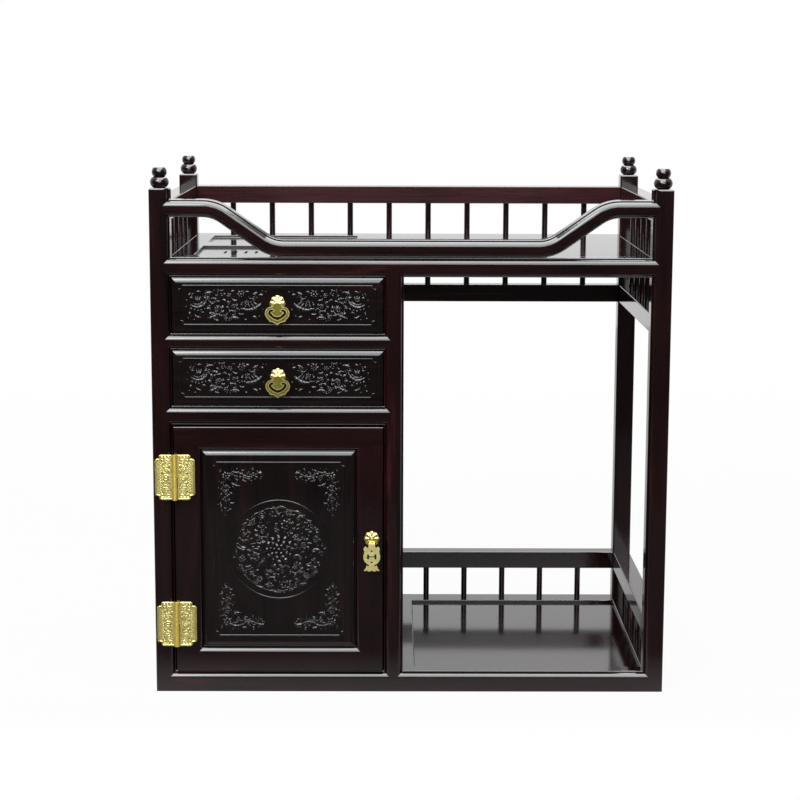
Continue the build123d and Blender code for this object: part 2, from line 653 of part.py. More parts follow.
def build_runners():
    """Runners under the drawers' sides with guides beside them, and kickers over the upper drawer."""
    wall_left = LEFT + SIDE_PANEL_BACK + SIDE_PANEL_THICK
    wall_right = MID_X - PARTITION / 2
    runners = []
    for low, sill in ((LOWER_HEAD, UPPER_SILL), (DOOR_HEAD, LOWER_SILL)):
        runners.append(
            box(wall_left, LEFT_IN + RUNNER_LEDGE, FRONT_IN, REAR_IN, low, sill)
            + box(wall_left, LEFT_IN, FRONT_IN, REAR_IN, sill, sill + RUNNER_GUIDE)
        )
        runners.append(
            box(MID_L - RUNNER_LEDGE, wall_right, FRONT_IN, PLAIN_FRONT, low, sill)
            + box(MID_L, wall_right, FRONT_IN, PLAIN_FRONT, sill, sill + RUNNER_GUIDE)
        )
    parts["drawer_runners"] = Part() + runners
    top = TABLE - TOP_PANEL
    parts["drawer_kickers"] = Part() + [
        box(x, x + RUNNER_LEDGE, FRONT_IN, REAR_IN, UNDER, top) for x in (LEFT_IN, MID_L - RUNNER_LEDGE)
    ]


# ---------------------------------------------------------------- door
def door_extent():
    """Left, right, bottom and top of the door."""
    return LEFT_IN + DOOR_GAP, MID_L - DOOR_GAP, BASE_RAIL + DOOR_GAP, DOOR_HEAD - DOOR_GAP


def rail_region(z_edge, z_side):
    """Front-view outline of a door rail; z_edge is the door's edge and z_side is 1 for the top rail."""
    x0, x1, _, _ = door_extent()
    reach = DOOR_LIP + DOOR_ROUND
    shoulder = z_edge - z_side * (DOOR_RAIL - reach)
    inner = z_edge - z_side * DOOR_RAIL
    return outline(
        (x0, z_edge),
        (x1, z_edge),
        (x1, shoulder),
        (x1 - STILE + reach, shoulder),
        (x1 - STILE, inner),
        (x0 + STILE, inner),
        (x0 + STILE - reach, shoulder),
        (x0, shoulder),
    )


def build_door():
    """Mitred frame, raised panel with its medallion ring, and the ring round its field."""
    x0, x1, z0, z1 = door_extent()
    mould = {"lip": DOOR_LIP, "radius": DOOR_ROUND}
    regions = [prism(rail_region(z, side), FRONT, FRONT + DOOR_THICK) for z, side in ((z0, -1), (z1, 1))]
    left = along_z(section(STILE, DOOR_THICK, RAIL_EASE, "mould", **mould), x0, FRONT, z0, z1)
    right = along_z(section(STILE, DOOR_THICK, "mould", RAIL_EASE, **mould), x1 - STILE, FRONT, z0, z1)
    low = along_x(section(DOOR_RAIL, DOOR_THICK, RAIL_EASE, "mould", **mould), x0, x1, FRONT, z0)
    high = along_x(section(DOOR_RAIL, DOOR_THICK, "mould", RAIL_EASE, **mould), x0, x1, FRONT, z1 - DOOR_RAIL)
    px0, px1, pz0, pz1 = x0 + STILE, x1 - STILE, z0 + DOOR_RAIL, z1 - DOOR_RAIL
    face = FRONT + FIELD_BACK
    panel = carved_front(px0, px1, pz0, pz1, face, DOOR_PANEL_THICK, DOOR_RING_INSET)
    tongue_y = FRONT + DOOR_ROUND + DOOR_LIP, face + DOOR_PANEL_THICK
    panel += box(px0 - TONGUE, px1 + TONGUE, *tongue_y, pz0 - TONGUE, pz1 + TONGUE)
    centre = Pos((px0 + px1) / 2, (pz0 + pz1) / 2)
    circle = centre * (Circle(MEDALLION) - Circle(MEDALLION - MEDALLION_RING))
    panel += prism(circle, face - RING_PROUD, face)
    parts["door_panel"] = panel
    parts["door_stiles"] = Part() + [left - regions - panel, right - regions - panel]
    parts["door_rails"] = Part() + [(low & regions[0]) - panel, (high & regions[1]) - panel]
    build_pull("door", x1 - DOOR_PULL_IN, DOOR_PULL_Z, FRONT, door_pendant(), ROSETTE_UP[1])
    back = FRONT + DOOR_THICK
    low = DOOR_HEAD - CATCH[1]
    middle = x1 - CATCH_IN
    half = CATCH[0] / 2
    behind = back + STRIKE + CATCH_GAP
    parts["door_catch"] = box(middle - half, middle + half, behind, behind + CATCH[1], low, DOOR_HEAD)
    half -= STRIKE_SIDE
    parts["door_strike"] = box(middle - half, middle + half, back, back + STRIKE, low, z1)


def leaf_face(height):
    """One hinge leaf in front view, axis at x = 0, with stepped and rounded outer corners."""
    width = HINGE_LEAF[0]
    shapes = []
    for w, h in ((width, height - 2 * HINGE_STEP), (width - HINGE_STEP, height)):
        face = Pos(w / 2, 0) * Rectangle(w, h)
        shapes.append(fillet(face.vertices().group_by(Axis.X)[-1], HINGE_CORNER))
    return shapes[0] + shapes[1]


def hinge_leaf(z, side):
    """A leaf with its half of the knuckle: side -1 lies on the post and carries the lower half."""
    _, height, thick = HINGE_LEAF
    x = LEFT_IN + DOOR_GAP + HINGE_OFF
    axis_y = FRONT - KNUCKLE - KNUCKLE_OUT
    plate = prism(leaf_face(height), FRONT - thick, FRONT)
    plate = mirror(plate, Plane.YZ) if side < 0 else plate
    plate = Pos(x, 0, z) * plate
    own = (z - height / 2, z - KNUCKLE_GAP / 2) if side < 0 else (z + KNUCKLE_GAP / 2, z + height / 2)
    other = (z - height / 2, z + KNUCKLE_GAP / 2) if side > 0 else (z - KNUCKLE_GAP / 2, z + height / 2)
    clear = KNUCKLE + KNUCKLE_GAP
    plate -= box(x - clear, x + clear, FRONT - thick, FRONT, *other)
    plate += upright(KNUCKLE, *own, x, axis_y)
    bore = HINGE_PIN + (PIN_CLEAR if side > 0 else 0)
    return plate - upright(bore, z - height, z + height, x, axis_y)


def build_hinges():
    x = LEFT_IN + DOOR_GAP + HINGE_OFF
    axis_y = FRONT - KNUCKLE - KNUCKLE_OUT
    half = HINGE_LEAF[1] / 2
    centres = (HINGE_LOWER, HINGE_UPPER)
    parts["hinge_leaves_post"] = Part() + [hinge_leaf(z, -1) for z in centres]
    parts["hinge_leaves_door"] = Part() + [hinge_leaf(z, 1) for z in centres]
    parts["hinge_pins"] = Part() + [upright(HINGE_PIN, z - half, z + half, x, axis_y) for z in centres]


# ---------------------------------------------------------------- pulls
def mirrored(lines):
    """A half outline that starts and ends on x = 0, closed by its mirror image."""
    half = Curve() + lines
    return make_face(half + mirror(half, Plane.YZ))


def drawer_pendant():
    """Cloud-shaped pendant with an arched top and a crescent cut-out; the pivot is at the origin."""
    body = mirrored(
        [
            ThreePointArc((0, PENDANT_TOP), (5.2, -0.5), (7.9, -4.8)),
            ThreePointArc((7.9, -4.8), (15.2, -7.2), (18.8, -13.6)),
            ThreePointArc((18.8, -13.6), (17.8, -19.4), (13.2, -24.8)),
            ThreePointArc((13.2, -24.8), (12.6, -26.8), (11.2, -28.0)),
            ThreePointArc((11.2, -28.0), (4.6, -29.8), (0, -33.6)),
        ]
    )
    crescent = mirrored(
        [
            ThreePointArc((0, -20.6), (4.6, -19.4), (8.2, -16.2)),
            ThreePointArc((8.2, -16.2), (9.9, -14.6), (10.4, -12.8)),
            ThreePointArc((10.4, -12.8), (8.2, -12.4), (5.4, -11.4)),
            ThreePointArc((5.4, -11.4), (7.6, -9.2), (10.8, -9.6)),
            ThreePointArc((10.8, -9.6), (13.6, -13.4), (11.6, -18.2)),
            ThreePointArc((11.6, -18.2), (6.6, -22.6), (0, -25.2)),
        ]
    )
    return body - crescent


def door_pendant():
    """Drop plate with eared shoulders, a round middle, an H-shaped opening and a flared foot."""
    shoulders = mirrored(
        [
            Line((0, PENDANT_TOP), (3.0, PENDANT_TOP)),
            ThreePointArc((3.0, PENDANT_TOP), (4.6, 0.0), (5.2, -3.2)),
            Line((5.2, -3.2), (6.9, -5.4)),
            Line((6.9, -5.4), (9.8, -2.8)),
            ThreePointArc((9.8, -2.8), (12.2, -5.0), (12.4, -8.6)),
            Line((12.4, -8.6), (11.4, -10.4)),
            Line((11.4, -10.4), (12.4, -12.6)),
            Line((12.4, -12.6), (8.0, -20.0)),
            Line((8.0, -20.0), (0, -20.0)),
        ]
    )
    foot = mirrored(
        [
            Line((0, -31.0), (4.4, -33.4)),
            Line((4.4, -33.4), (6.2, -34.6)),
            Line((6.2, -34.6), (8.4, -32.6)),
            ThreePointArc((8.4, -32.6), (9.6, -37.6), (12.6, -41.2)),
            ThreePointArc((12.6, -41.2), (9.6, -41.9), (7.4, -41.0)),
            ThreePointArc((7.4, -41.0), (3.6, -42.8), (0, -40.2)),
        ]
    )
    middle = Pos(0, -19.6) * Circle(13.2)
    slots = [Pos(x, -19.4) * SlotOverall(8.4, 2.9, rotation=90) for x in (-5.8, 5.8)]
    openings = slots + [Pos(0, -19.4) * Rectangle(10, 1.8)]
    openings += [Pos(0, z) * Circle(1.5) for z in (-10.4, -28.2)]
    return shoulders + middle + foot - openings


def build_pull(name, x, z, face, pendant, rosette_up):
    """Domed rosette with a forked ear and its pin, and the pendant that swings on it."""
    centre_z = z + rosette_up
    base, height = ROSETTE_DOME
    pivot = face - PIVOT_OUT
    front = face - ROSETTE_PLATE
    out = ROSETTE - PETAL
    petals = Circle(out + PETAL / 2)
    for i in range(PETALS):
        angle = 2 * pi * i / PETALS
        petals += Pos(out * cos(angle), out * sin(angle)) * Circle(PETAL)
    plate = prism(Pos(x, centre_z) * petals, front, face)
    ball = (base**2 + height**2) / (2 * height)
    dome = Pos(x, front + ball - height, centre_z) * Sphere(ball)
    dome -= box(x - ball, x + ball, front, front + 2 * ball, centre_z - ball, centre_z + ball)
    thick, off = EAR
    radius = PENDANT_KNUCKLE + PIN_HEAD
    seat = front + ROSETTE_PLATE / 2
    ear_face = Pos(pivot, z) * Circle(radius) + Pos((pivot + seat) / 2, z) * Rectangle(seat - pivot, 2 * radius)
    side_view = Plane(origin=(x, 0, 0), x_dir=(0, 1, 0), z_dir=(1, 0, 0))
    ears = [extrude(side_view.offset(s) * ear_face, thick, dir=(1, 0, 0)) for s in (-off - thick, off)]
    pin = across(PIVOT_PIN, 2 * (off + thick + PIN_HEAD), x, pivot, z)
    parts["pull_rosette_" + name] = plate + dome + ears + pin
    back = pivot - PENDANT_OUT
    swing = Pos(x, 0, z) * prism(pendant, back - PENDANT_THICK, back)
    half = PENDANT_KNUCKLE_HALF
    swing += box(x - half, x + half, back, pivot, z - PENDANT_KNUCKLE, z + PENDANT_TOP)
    swing += across(PENDANT_KNUCKLE, 2 * half, x, pivot, z)
    parts["pull_pendant_" + name] = swing - across(PIVOT_PIN + PIN_CLEAR, 2 * half, x, pivot, z)


# ---------------------------------------------------------------- the whole table
def build():
    post_pocket = build_posts()
    rail_pockets = build_front_rails()
    build_plain_rails()
    build_spindles()
    build_panels()
    cut_seats(post_pocket, rail_pockets)
    build_runners()
    build_tray()
    build_drawer("upper", UPPER_SILL)
    build_drawer("lower", LOWER_SILL)
    build_door()
    build_hinges()


build()
os.makedirs("parts", exist_ok=True)
for node, shape in parts.items():
    solids = list(shape.solids())
    whole = solids[0] if len(solids) == 1 else Compound(children=solids)
    export_step(whole, os.path.join("parts", node + ".step"))
print(len(parts), "nodes; front face at y =", FRONT)
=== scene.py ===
"""Finish of a lacquered tea cabinet: polished woodwork, carving, brass fittings and a plain studio."""

import json
from math import asin, cos, pi, radians, sin, sqrt

import bmesh
import bpy
from bpy.props import FloatProperty, FloatVectorProperty, IntProperty, PointerProperty
from bpy.types import Operator, Panel, PropertyGroup
from mathutils import Matrix, Vector


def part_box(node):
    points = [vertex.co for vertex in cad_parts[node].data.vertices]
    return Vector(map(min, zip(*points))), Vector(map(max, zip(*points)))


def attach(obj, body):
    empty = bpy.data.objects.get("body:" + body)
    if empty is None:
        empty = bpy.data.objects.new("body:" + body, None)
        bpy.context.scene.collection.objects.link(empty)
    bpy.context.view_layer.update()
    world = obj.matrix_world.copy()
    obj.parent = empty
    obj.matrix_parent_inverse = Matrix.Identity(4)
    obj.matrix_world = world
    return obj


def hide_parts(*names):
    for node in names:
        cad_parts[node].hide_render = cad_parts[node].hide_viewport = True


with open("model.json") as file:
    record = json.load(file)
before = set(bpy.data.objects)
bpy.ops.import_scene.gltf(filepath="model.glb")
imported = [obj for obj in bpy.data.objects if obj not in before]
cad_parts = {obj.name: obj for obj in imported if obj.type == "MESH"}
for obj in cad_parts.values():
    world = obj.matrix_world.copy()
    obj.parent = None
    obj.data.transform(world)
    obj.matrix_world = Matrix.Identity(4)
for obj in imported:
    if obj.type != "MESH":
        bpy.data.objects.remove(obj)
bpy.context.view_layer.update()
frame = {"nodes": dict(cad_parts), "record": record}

bl_info = {
    "name": "Tea Cabinet Finish",
    "version": (1, 0, 0),
    "blender": (4, 5, 0),
    "location": "3D View > Sidebar > Tea Cabinet",
    "description": "Polished woodwork, carving, brass fittings and a plain studio for a tea cabinet",
    "category": "Object",
}

MM = 0.001
BODY_OF = {n: body for body, names in frame["record"]["behaviour"]["bodies"].items() for n in names}
SLOT_OF = {part["node"]: part["material_slot"] for part in frame["record"]["subparts"]}

# Sizes of the solids that the finish follows
BEAD_PROUD = 1.5 * MM  # how far the raised beads of the carved fields stand out of them
EDGE_ROUND = 6 * MM  # radius of the quarter round at a carved board's edge
MARGIN_CURVE = 2.6  # how fast the slope that takes its place levels out; 1 is straight
DOOR_TONGUE = 5 * MM  # how far the door panel reaches into its frame
LEAF_PROUD = 1.8 * MM  # how far the hinge leaves stand out of the door stiles
HINGE_HEIGHT = 71.5 * MM
KNUCKLE_REACH = 4.2 * MM  # half the width of the knuckles about the pin
ROSETTE_RADIUS = 12 * MM
ROSETTE_PLATE = 1.0 * MM  # thickness of a rosette's plate
DOME_RADIUS, DOME_HEIGHT = 10.0, 2.6  # the dome on that plate, in millimetres
SPRAY_CORNER = (93, 128)  # corner of a door spray from the middle of the panel, in millimetres

GOLDEN_ANGLE = 137.508  # degrees
NEAR = 1e-6  # metres that a vertex may be off its line
STRIP = 8  # length over width from which a face counts as a strip of a moulding
STRAIGHT_ON = 0.97  # cosine of the largest angle between two strips that run on without a mitre

# Nodes by how they are worked; CARVED and UPRIGHT hold the beginnings of names
EASED = (
    "tabletop_panel", "shelf_panel", "cabinet_floor", "side_panel", "partition_panel", "back_panel",
    "drawer_sides_upper", "drawer_sides_lower", "drawer_back_upper", "drawer_back_lower",
    "drawer_bottom_upper", "drawer_bottom_lower", "drawer_runners", "drawer_kickers", "drain_board",
)
CARVED = ("door_panel", "drawer_front")
REDDER = ("gallery_rail_rear",)
# Those whose grain does not run along the cabinet's front
UPRIGHT = ("post", "finials", "door_stiles", "side_panel", "partition_panel", "door_panel", "back_panel")
FRONT_TO_BACK = ("base_rail_middle", "drawer_runners", "drawer_kickers")


# ---------------------------------------------------------------- properties
def length(name, description, default):
    return FloatProperty(
        name=name, description=description, default=default, min=0.0, subtype="DISTANCE", unit="LENGTH"
    )


def share(name, description, default, low, high):
    return FloatProperty(name=name, description=description, default=default, min=low, max=high)


def colour(name, description, default):
    return FloatVectorProperty(
        name=name, description=description, default=default, size=3, min=0, max=1, subtype="COLOR"
    )


class CabinetSizes(PropertyGroup):
    """Sizes of the finish."""

    arris: length("Arris", "Width of the eased edges of plain boards", 0.0007)
    brass_edge: length("Brass edge", "Width of the rounded edges of brass plates", 0.00025)
    bead: length("Bead", "Rounding of the raised beads round the carved fields", 0.0013)
    margin: length("Margin", "Width of the slope at a carved board's edge", 0.0095)
    margin_fall: length("Margin fall", "Depth of that slope at the edge", 0.0026)
    rim: length("Rim", "Width of the raised rim of a drawer pendant", 0.0012)
    rim_height: length("Rim height", "How far a drawer pendant's face is sunk inside that rim", 0.0006)
    leaf: share("Leaf relief", "Height of a carved stroke over half its width", 0.6, 0.1, 1.0)
    boldness: share("Boldness", "Width of the carved strokes over their drawn width", 1.3, 0.5, 2.0)
    emboss: share("Embossing", "Height of an embossed brass stroke over half its width", 0.5, 0.1, 1.0)
    emboss_boldness: share("Bold embossing", "Width of the hinges' strokes over their drawn width", 1.35, 0.5, 2.0)
    petals: IntProperty(name="Petals", description="Petals of a rosette", default=8, min=5, max=16)


class CabinetColours(PropertyGroup):
    """Colours of the finish."""

    wood_dark: colour("Dark figure", "Darkest streaks of the lacquered wood", (0.0045, 0.0018, 0.0021))
    wood: colour("Wood", "Main colour of the lacquered wood", (0.0140, 0.0038, 0.0044))
    wood_light: colour("Light figure", "Lightest streaks of the lacquered wood", (0.040, 0.0085, 0.0095))
    panel: colour("Carved fields", "Main colour of the carved boards, stained darker", (0.0085, 0.0050, 0.0052))
    carcass: colour("Carcass", "Satin wood inside the cabinet", (0.075, 0.026, 0.018))
    brass: colour("Brass", "Polished brass", (0.68, 0.60, 0.27))
    brass_ground: colour("Brass ground", "Punched ground between the embossing", (0.56, 0.475, 0.175))
    steel: colour("Steel", "Brushed steel", (0.56, 0.57, 0.58))
    catch: colour("Catch", "Dark plastic of the magnet catch", (0.03, 0.027, 0.025))
    floor: colour("Floor", "Studio floor", (0.80, 0.80, 0.79))


def sizes():
    """The scene's sizes of the finish."""
    return bpy.context.scene.cabinet_sizes


def colours():
    """The scene's colours of the finish."""
    return bpy.context.scene.cabinet_colours


# ---------------------------------------------------------------- finishes
class Recipe:
    """One material and shorthand for its nodes."""

    def __init__(self, name):
        self.material = bpy.data.materials.new(name)
        self.material.use_nodes = True
        self.tree = self.material.node_tree
        self.shader = self.tree.nodes["Principled BSDF"]

    def add(self, kind, inputs=(), **settings):
        """A new shader node with its settings and inputs."""
        node = self.tree.nodes.new("ShaderNode" + kind)
        for name, value in settings.items():
            setattr(node, name, value)
        self.feed(node, dict(inputs))
        return node

    def feed(self, node, inputs):
        """Links sockets to a node's inputs, and writes plain values on them."""
        for name, value in inputs.items():
            if isinstance(value, bpy.types.NodeSocket):
                self.tree.links.new(value, node.inputs[name])
            else:
                node.inputs[name].default_value = value

    def ramp(self, factor, *stops):
        """A colour ramp through stops of (place, colour or grey level)."""
        node = self.add("ValToRGB", {"Fac": factor})
        ramp = node.color_ramp
        for i, (place, value) in enumerate(stops):
            stop = ramp.elements[i] if i < 2 else ramp.elements.new(place)
            stop.position = place
            stop.color = (*value, 1) if isinstance(value, (tuple, list)) else (value, value, value, 1)
        return node.outputs["Color"]

    def mix(self, blend, factor, a, b):
        """A colour mix; its sockets for colours are numbers 6 and 7, and their result is number 2."""
        return self.add("Mix", {0: factor, 6: a, 7: b}, data_type="RGBA", blend_type=blend).outputs[2]

    def bump(self, height, distance, strength):
        """The normal of a surface with this height on it; the distance is in metres."""
        return self.add("Bump", {"Height": height, "Distance": distance, "Strength": strength}).outputs["Normal"]


def scaled(values, factors):
    """A colour times one factor, or times one for each channel."""
    if not isinstance(factors, tuple):
        factors = (factors,) * len(values)
    return tuple(v * k for v, k in zip(values, factors))


def made_once(make):
    """Keeps each finish under its name, so that it is made one time."""

    def fetch(*words):
        name = "_".join((make.__name__, *words))
        return bpy.data.materials.get(name) or make(Recipe(name), *words)

    return fetch


def wood_figure(recipe, grain, scale=1.0):
    """Streaks that run along the grain, and fine pores."""
    place = recipe.add("TexCoord").outputs["Object"]
    broad = recipe.add("Mapping", {"Vector": place, "Scale": [1.0 if a == grain else 11.0 for a in "XYZ"]})
    streaks = recipe.add("TexNoise", {
        "Vector": broad.outputs[0],
        "Scale": 3.4 * scale,
        "Detail": 7.0,
        "Roughness": 0.62,
        "Distortion": 0.7,
    })
    fine = recipe.add("Mapping", {"Vector": place, "Scale": [9.0 if a == grain else 420.0 for a in "XYZ"]})
    pores = recipe.add("TexNoise", {"Vector": fine.outputs[0], "Scale": 1.6, "Detail": 3.0, "Roughness": 0.6})
    return place, streaks.outputs["Fac"], pores.outputs["Fac"]


@made_once
def lacquer(recipe, tone, grain):
    """Streaked dark hardwood under a clear polished coat; grain is the axis that it runs along."""
    c = colours()
    place, streaks, pores = wood_figure(recipe, grain)
    main = tuple(c.wood if tone in ("plain", "warm") else c.panel)
    dark, light = tuple(c.wood_dark), tuple(c.wood_light)
    if tone == "warm":
        main, light = scaled(main, 3.6), scaled(light, 2.0)
    elif tone != "plain":
        light = tuple(0.5 * a + 0.5 * b for a, b in zip(main, light))
    tint = recipe.ramp(streaks, (0.30, dark), (0.68, light), (0.48, main), (0.57, main))
    cloud = recipe.add("TexNoise", {"Vector": place, "Scale": 5.0, "Detail": 2.0})
    tint = recipe.mix("MULTIPLY", 0.75, tint, recipe.ramp(cloud.outputs["Fac"], (0.3, 0.62), (0.7, 1.35)))
    tint = recipe.mix("MULTIPLY", 0.6, tint, recipe.ramp(pores, (0.36, 0.3), (0.47, 1.0)))
    skin = recipe.add("TexNoise", {"Vector": place, "Scale": 130.0, "Detail": 2.0})
    wave = recipe.add("TexNoise", {"Vector": place, "Scale": 9.0, "Detail": 1.0})
    height = recipe.mix("ADD", 0.07, recipe.mix("MIX", 0.75, skin.outputs["Fac"], wave.outputs["Fac"]), pores)
    coat = recipe.bump(height, 0.0006, 0.30)
    if tone == "relief":
        cuts = recipe.add("TexNoise", {"Vector": place, "Scale": 420.0, "Detail": 1.0})
        coat = recipe.bump(cuts.outputs["Fac"], 0.0011, 1.0)
    recipe.feed(recipe.shader, {
        "Base Color": tint,
        "Roughness": 0.42,
        "Specular IOR Level": 0.0,
        "Coat Weight": 1.0,
        "Coat Roughness": {"relief": 0.11, "warm": 0.12}.get(tone, 0.095),
        "Coat IOR": 1.55,
        "Normal": recipe.bump(pores, 0.0002, 0.35),
        "Coat Normal": coat,
    })
    return recipe.material


@made_once
def carcass(recipe, grain):
    """Stained satin wood of the drawer boxes and the back."""
    main = tuple(colours().carcass)
    place, streaks, pores = wood_figure(recipe, grain, 1.4)
    tint = recipe.ramp(streaks, (0.30, scaled(main, 0.5)), (0.70, scaled(main, 1.6)), (0.5, main))
    tint = recipe.mix("MULTIPLY", 0.7, tint, recipe.ramp(pores, (0.38, 0.45), (0.5, 1.0)))
    recipe.feed(recipe.shader, {
        "Base Color": tint,
        "Roughness": recipe.ramp(streaks, (0.3, 0.38), (0.7, 0.55)),
        "Coat Weight": 0.25,
        "Coat Roughness": 0.3,
        "Normal": recipe.bump(pores, 0.0003, 0.5),
    })
    return recipe.material


@made_once
def brass(recipe, tone="cast"):
    """Brass with a faint tarnish: cast and polished, stamped sheet, a flat plate or a worn knuckle."""
    tint, dull, bright = {
        "cast": ((1.0, 1.0, 1.0), 0.42, 0.28),
        "stamped": ((1.0, 1.0, 1.0), 0.44, 0.34),
        "plate": ((1.12, 1.14, 1.2), 0.54, 0.46),
        "knuckle": ((1.14, 1.0, 0.62), 0.6, 0.5),
    }[tone]
    main = scaled(colours().brass, tint)
    place = recipe.add("TexCoord").outputs["Object"]
    tarnish = recipe.add("TexNoise", {"Vector": place, "Scale": 140.0, "Detail": 4.0, "Roughness": 0.6})
    grit = recipe.add("TexNoise", {"Vector": place, "Scale": 900.0, "Detail": 2.0})
    deep = scaled(main, (0.74, 0.70, 0.52))
    recipe.feed(recipe.shader, {
        "Base Color": recipe.ramp(tarnish.outputs["Fac"], (0.34, deep), (0.62, main)),
        "Metallic": 1.0,
        "Roughness": recipe.ramp(tarnish.outputs["Fac"], (0.3, dull), (0.7, bright)),
        "Normal": recipe.bump(grit.outputs["Fac"], 0.0002, 0.35),
    })
    return recipe.material


@made_once
def brass_ground(recipe, tone="stamped"):
    """The punched, darker ground of a hinge leaf or, with more tarnish, of a pendant."""
    tints = {"stamped": (1.0, 1.0, 1.0), "tarnished": (0.27, 0.28, 0.17)}
    main = scaled(colours().brass_ground, tints[tone])
    place = recipe.add("TexCoord").outputs["Object"]
    dots = recipe.add("TexVoronoi", {"Vector": place, "Scale": 1500.0, "Randomness": 0.8}, feature="SMOOTH_F1")
    pits = recipe.ramp(dots.outputs["Distance"], (0.1, 0.0), (0.6, 1.0))
    tint = recipe.mix("MIX", pits, (*scaled(main, 0.62), 1), (*main, 1))
    recipe.feed(recipe.shader, {
        "Base Color": tint,
        "Metallic": 1.0,
        "Roughness": 0.48,
        "Normal": recipe.bump(pits, 0.0002, 0.7),
    })
    return recipe.material


@made_once
def steel(recipe):
    """Brushed steel of the catch pan and the strike plate."""
    main = tuple(colours().steel)
    place = recipe.add("TexCoord").outputs["Object"]
    run = recipe.add("Mapping", {"Vector": place, "Scale": (6.0, 500.0, 500.0)})
    lines = recipe.add("TexNoise", {"Vector": run.outputs[0], "Scale": 1.5, "Detail": 3.0})
    recipe.feed(recipe.shader, {
        "Base Color": recipe.ramp(lines.outputs["Fac"], (0.35, scaled(main, 0.85)), (0.65, main)),
        "Metallic": 1.0,
        "Roughness": recipe.ramp(lines.outputs["Fac"], (0.3, 0.26), (0.7, 0.42)),
        "Anisotropic": 0.5,
        "Normal": recipe.bump(lines.outputs["Fac"], 0.00008, 0.5),
    })
    return recipe.material


@made_once
def catch_plastic(recipe):
    """Matte moulded plastic."""
    main = tuple(colours().catch)
    place = recipe.add("TexCoord").outputs["Object"]
    grit = recipe.add("TexNoise", {"Vector": place, "Scale": 700.0, "Detail": 3.0})
    recipe.feed(recipe.shader, {
        "Base Color": recipe.ramp(grit.outputs["Fac"], (0.3, scaled(main, 0.8)), (0.7, main)),
        "Roughness": 0.55,
        "Normal": recipe.bump(grit.outputs["Fac"], 0.0002, 0.6),
    })
    return recipe.material


def grain_of(node):
    """The axis that the grain of a board or rail runs along."""
    if node.startswith(UPRIGHT) or "spindles" in node:
        return "Z"
    if "side" in node or "right" in node or node in FRONT_TO_BACK:
        return "Y"
    return "X"


def finish_of(node):
    """The material that a node is finished with."""
    slot = SLOT_OF[node]
    if slot == "lacquered_wood":
        tone = "carved" if node.startswith(CARVED) else "warm" if node in REDDER else "plain"
        return lacquer(tone, grain_of(node))
    if slot == "carcass_wood":
        return carcass(grain_of(node))
    return {"brass": brass, "steel": steel, "dark_plastic": catch_plastic}[slot]()


# ---------------------------------------------------------------- pieces
def whole_copy(node):
    """A merged copy of a node's mesh, with its flat faces made whole again."""
    bm = bmesh.new()
    bm.from_mesh(frame["nodes"][node].data)
    bmesh.ops.remove_doubles(bm, verts=bm.verts, dist=1e-5)
    bmesh.ops.dissolve_limit(bm, angle_limit=radians(0.6), verts=bm.verts, edges=bm.edges)
    return bm


def mitred(edge):
    """Whether two long strips of a moulding meet in a mitre along this edge."""
    longest = [max(face.edges, key=lambda e: e.calc_length()) for face in edge.link_faces]
    if min(e.calc_length() for e in longest) < STRIP * edge.calc_length():
        return False
    ways = [(e.verts[1].co - e.verts[0].co).normalized() for e in longest]
    return abs(ways[0].dot(ways[1])) < STRAIGHT_ON


def piece(name, bm, body, material, edge=0.0, sharp=32.0):
    """Turns a mesh into a finished piece that rides on a body."""
    for face in bm.faces:
        face.smooth = True
    for e in bm.edges:
        bend = e.calc_face_angle(pi)
        e.smooth = bend < radians(sharp) and not (bend > radians(0.5) and mitred(e))
    mesh = bpy.data.meshes.new(name)
    bm.to_mesh(mesh)
    bm.free()
    mesh.materials.append(material)
    made = bpy.data.objects.new(name, mesh)
    bpy.context.scene.collection.objects.link(made)
    if edge:
        ease = made.modifiers.new("eased edges", "BEVEL")
        ease.width = edge
        ease.segments = 2
        ease.limit_method = "ANGLE"
        ease.angle_limit = radians(40)
        ease.harden_normals = True
    made.modifiers.new("even shading", "WEIGHTED_NORMAL").keep_sharp = True
    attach(made, body)
    return made


def slope_margin(bm, node):
    """Turns the quarter round at a carved board's edge into a broad slope that levels out."""
    low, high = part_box(node)
    inset = DOOR_TONGUE if node == "door_panel" else 0.0
    face = low.y + BEAD_PROUD
    sides = ((0, low.x + inset, 1), (0, high.x - inset, -1), (2, low.z + inset, 1), (2, high.z - inset, -1))
    for vert in bm.verts:
        if not -NEAR < vert.co.y - face < EDGE_ROUND + NEAR:
            continue
        steepest = 0.0
        for axis, side, inward in sides:
            reach = (vert.co[axis] - side) * inward
            if -NEAR < reach < EDGE_ROUND + NEAR:
                steep = asin(min(1.0, max(0.0, 1 - reach / EDGE_ROUND))) / (pi / 2)
                vert.co[axis] = side + inward * sizes().margin * (1 - steep)
                steepest = max(steepest, steep)
        if steepest:
            vert.co.y = face + sizes().margin_fall * steepest**MARGIN_CURVE


def rounded_beads(node):
    """A copy of a carved front whose raised beads are rounded over."""
    bm = whole_copy(node)
    slope_margin(bm, node)
    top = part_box(node)[0].y + 0.1 * MM
    crest = [e for e in bm.edges if all(v.co.y < top for v in e.verts) and e.calc_face_angle(0) > radians(40)]
    bmesh.ops.bevel(
        bm, geom=crest, offset=sizes().bead, offset_type="OFFSET", segments=3, profile=0.5, affect="EDGES",
        clamp_overlap=True, material=-1,
    )
    return bm


def dressed(node, material=None, edge=0.0, bm=None, sharp=32.0):
    """A finished copy of one node, shown in its place."""
    bm = bm or whole_copy(node)
    made = piece(node + "_finished", bm, BODY_OF[node], material or finish_of(node), edge, sharp)
    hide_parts(node)
    return made


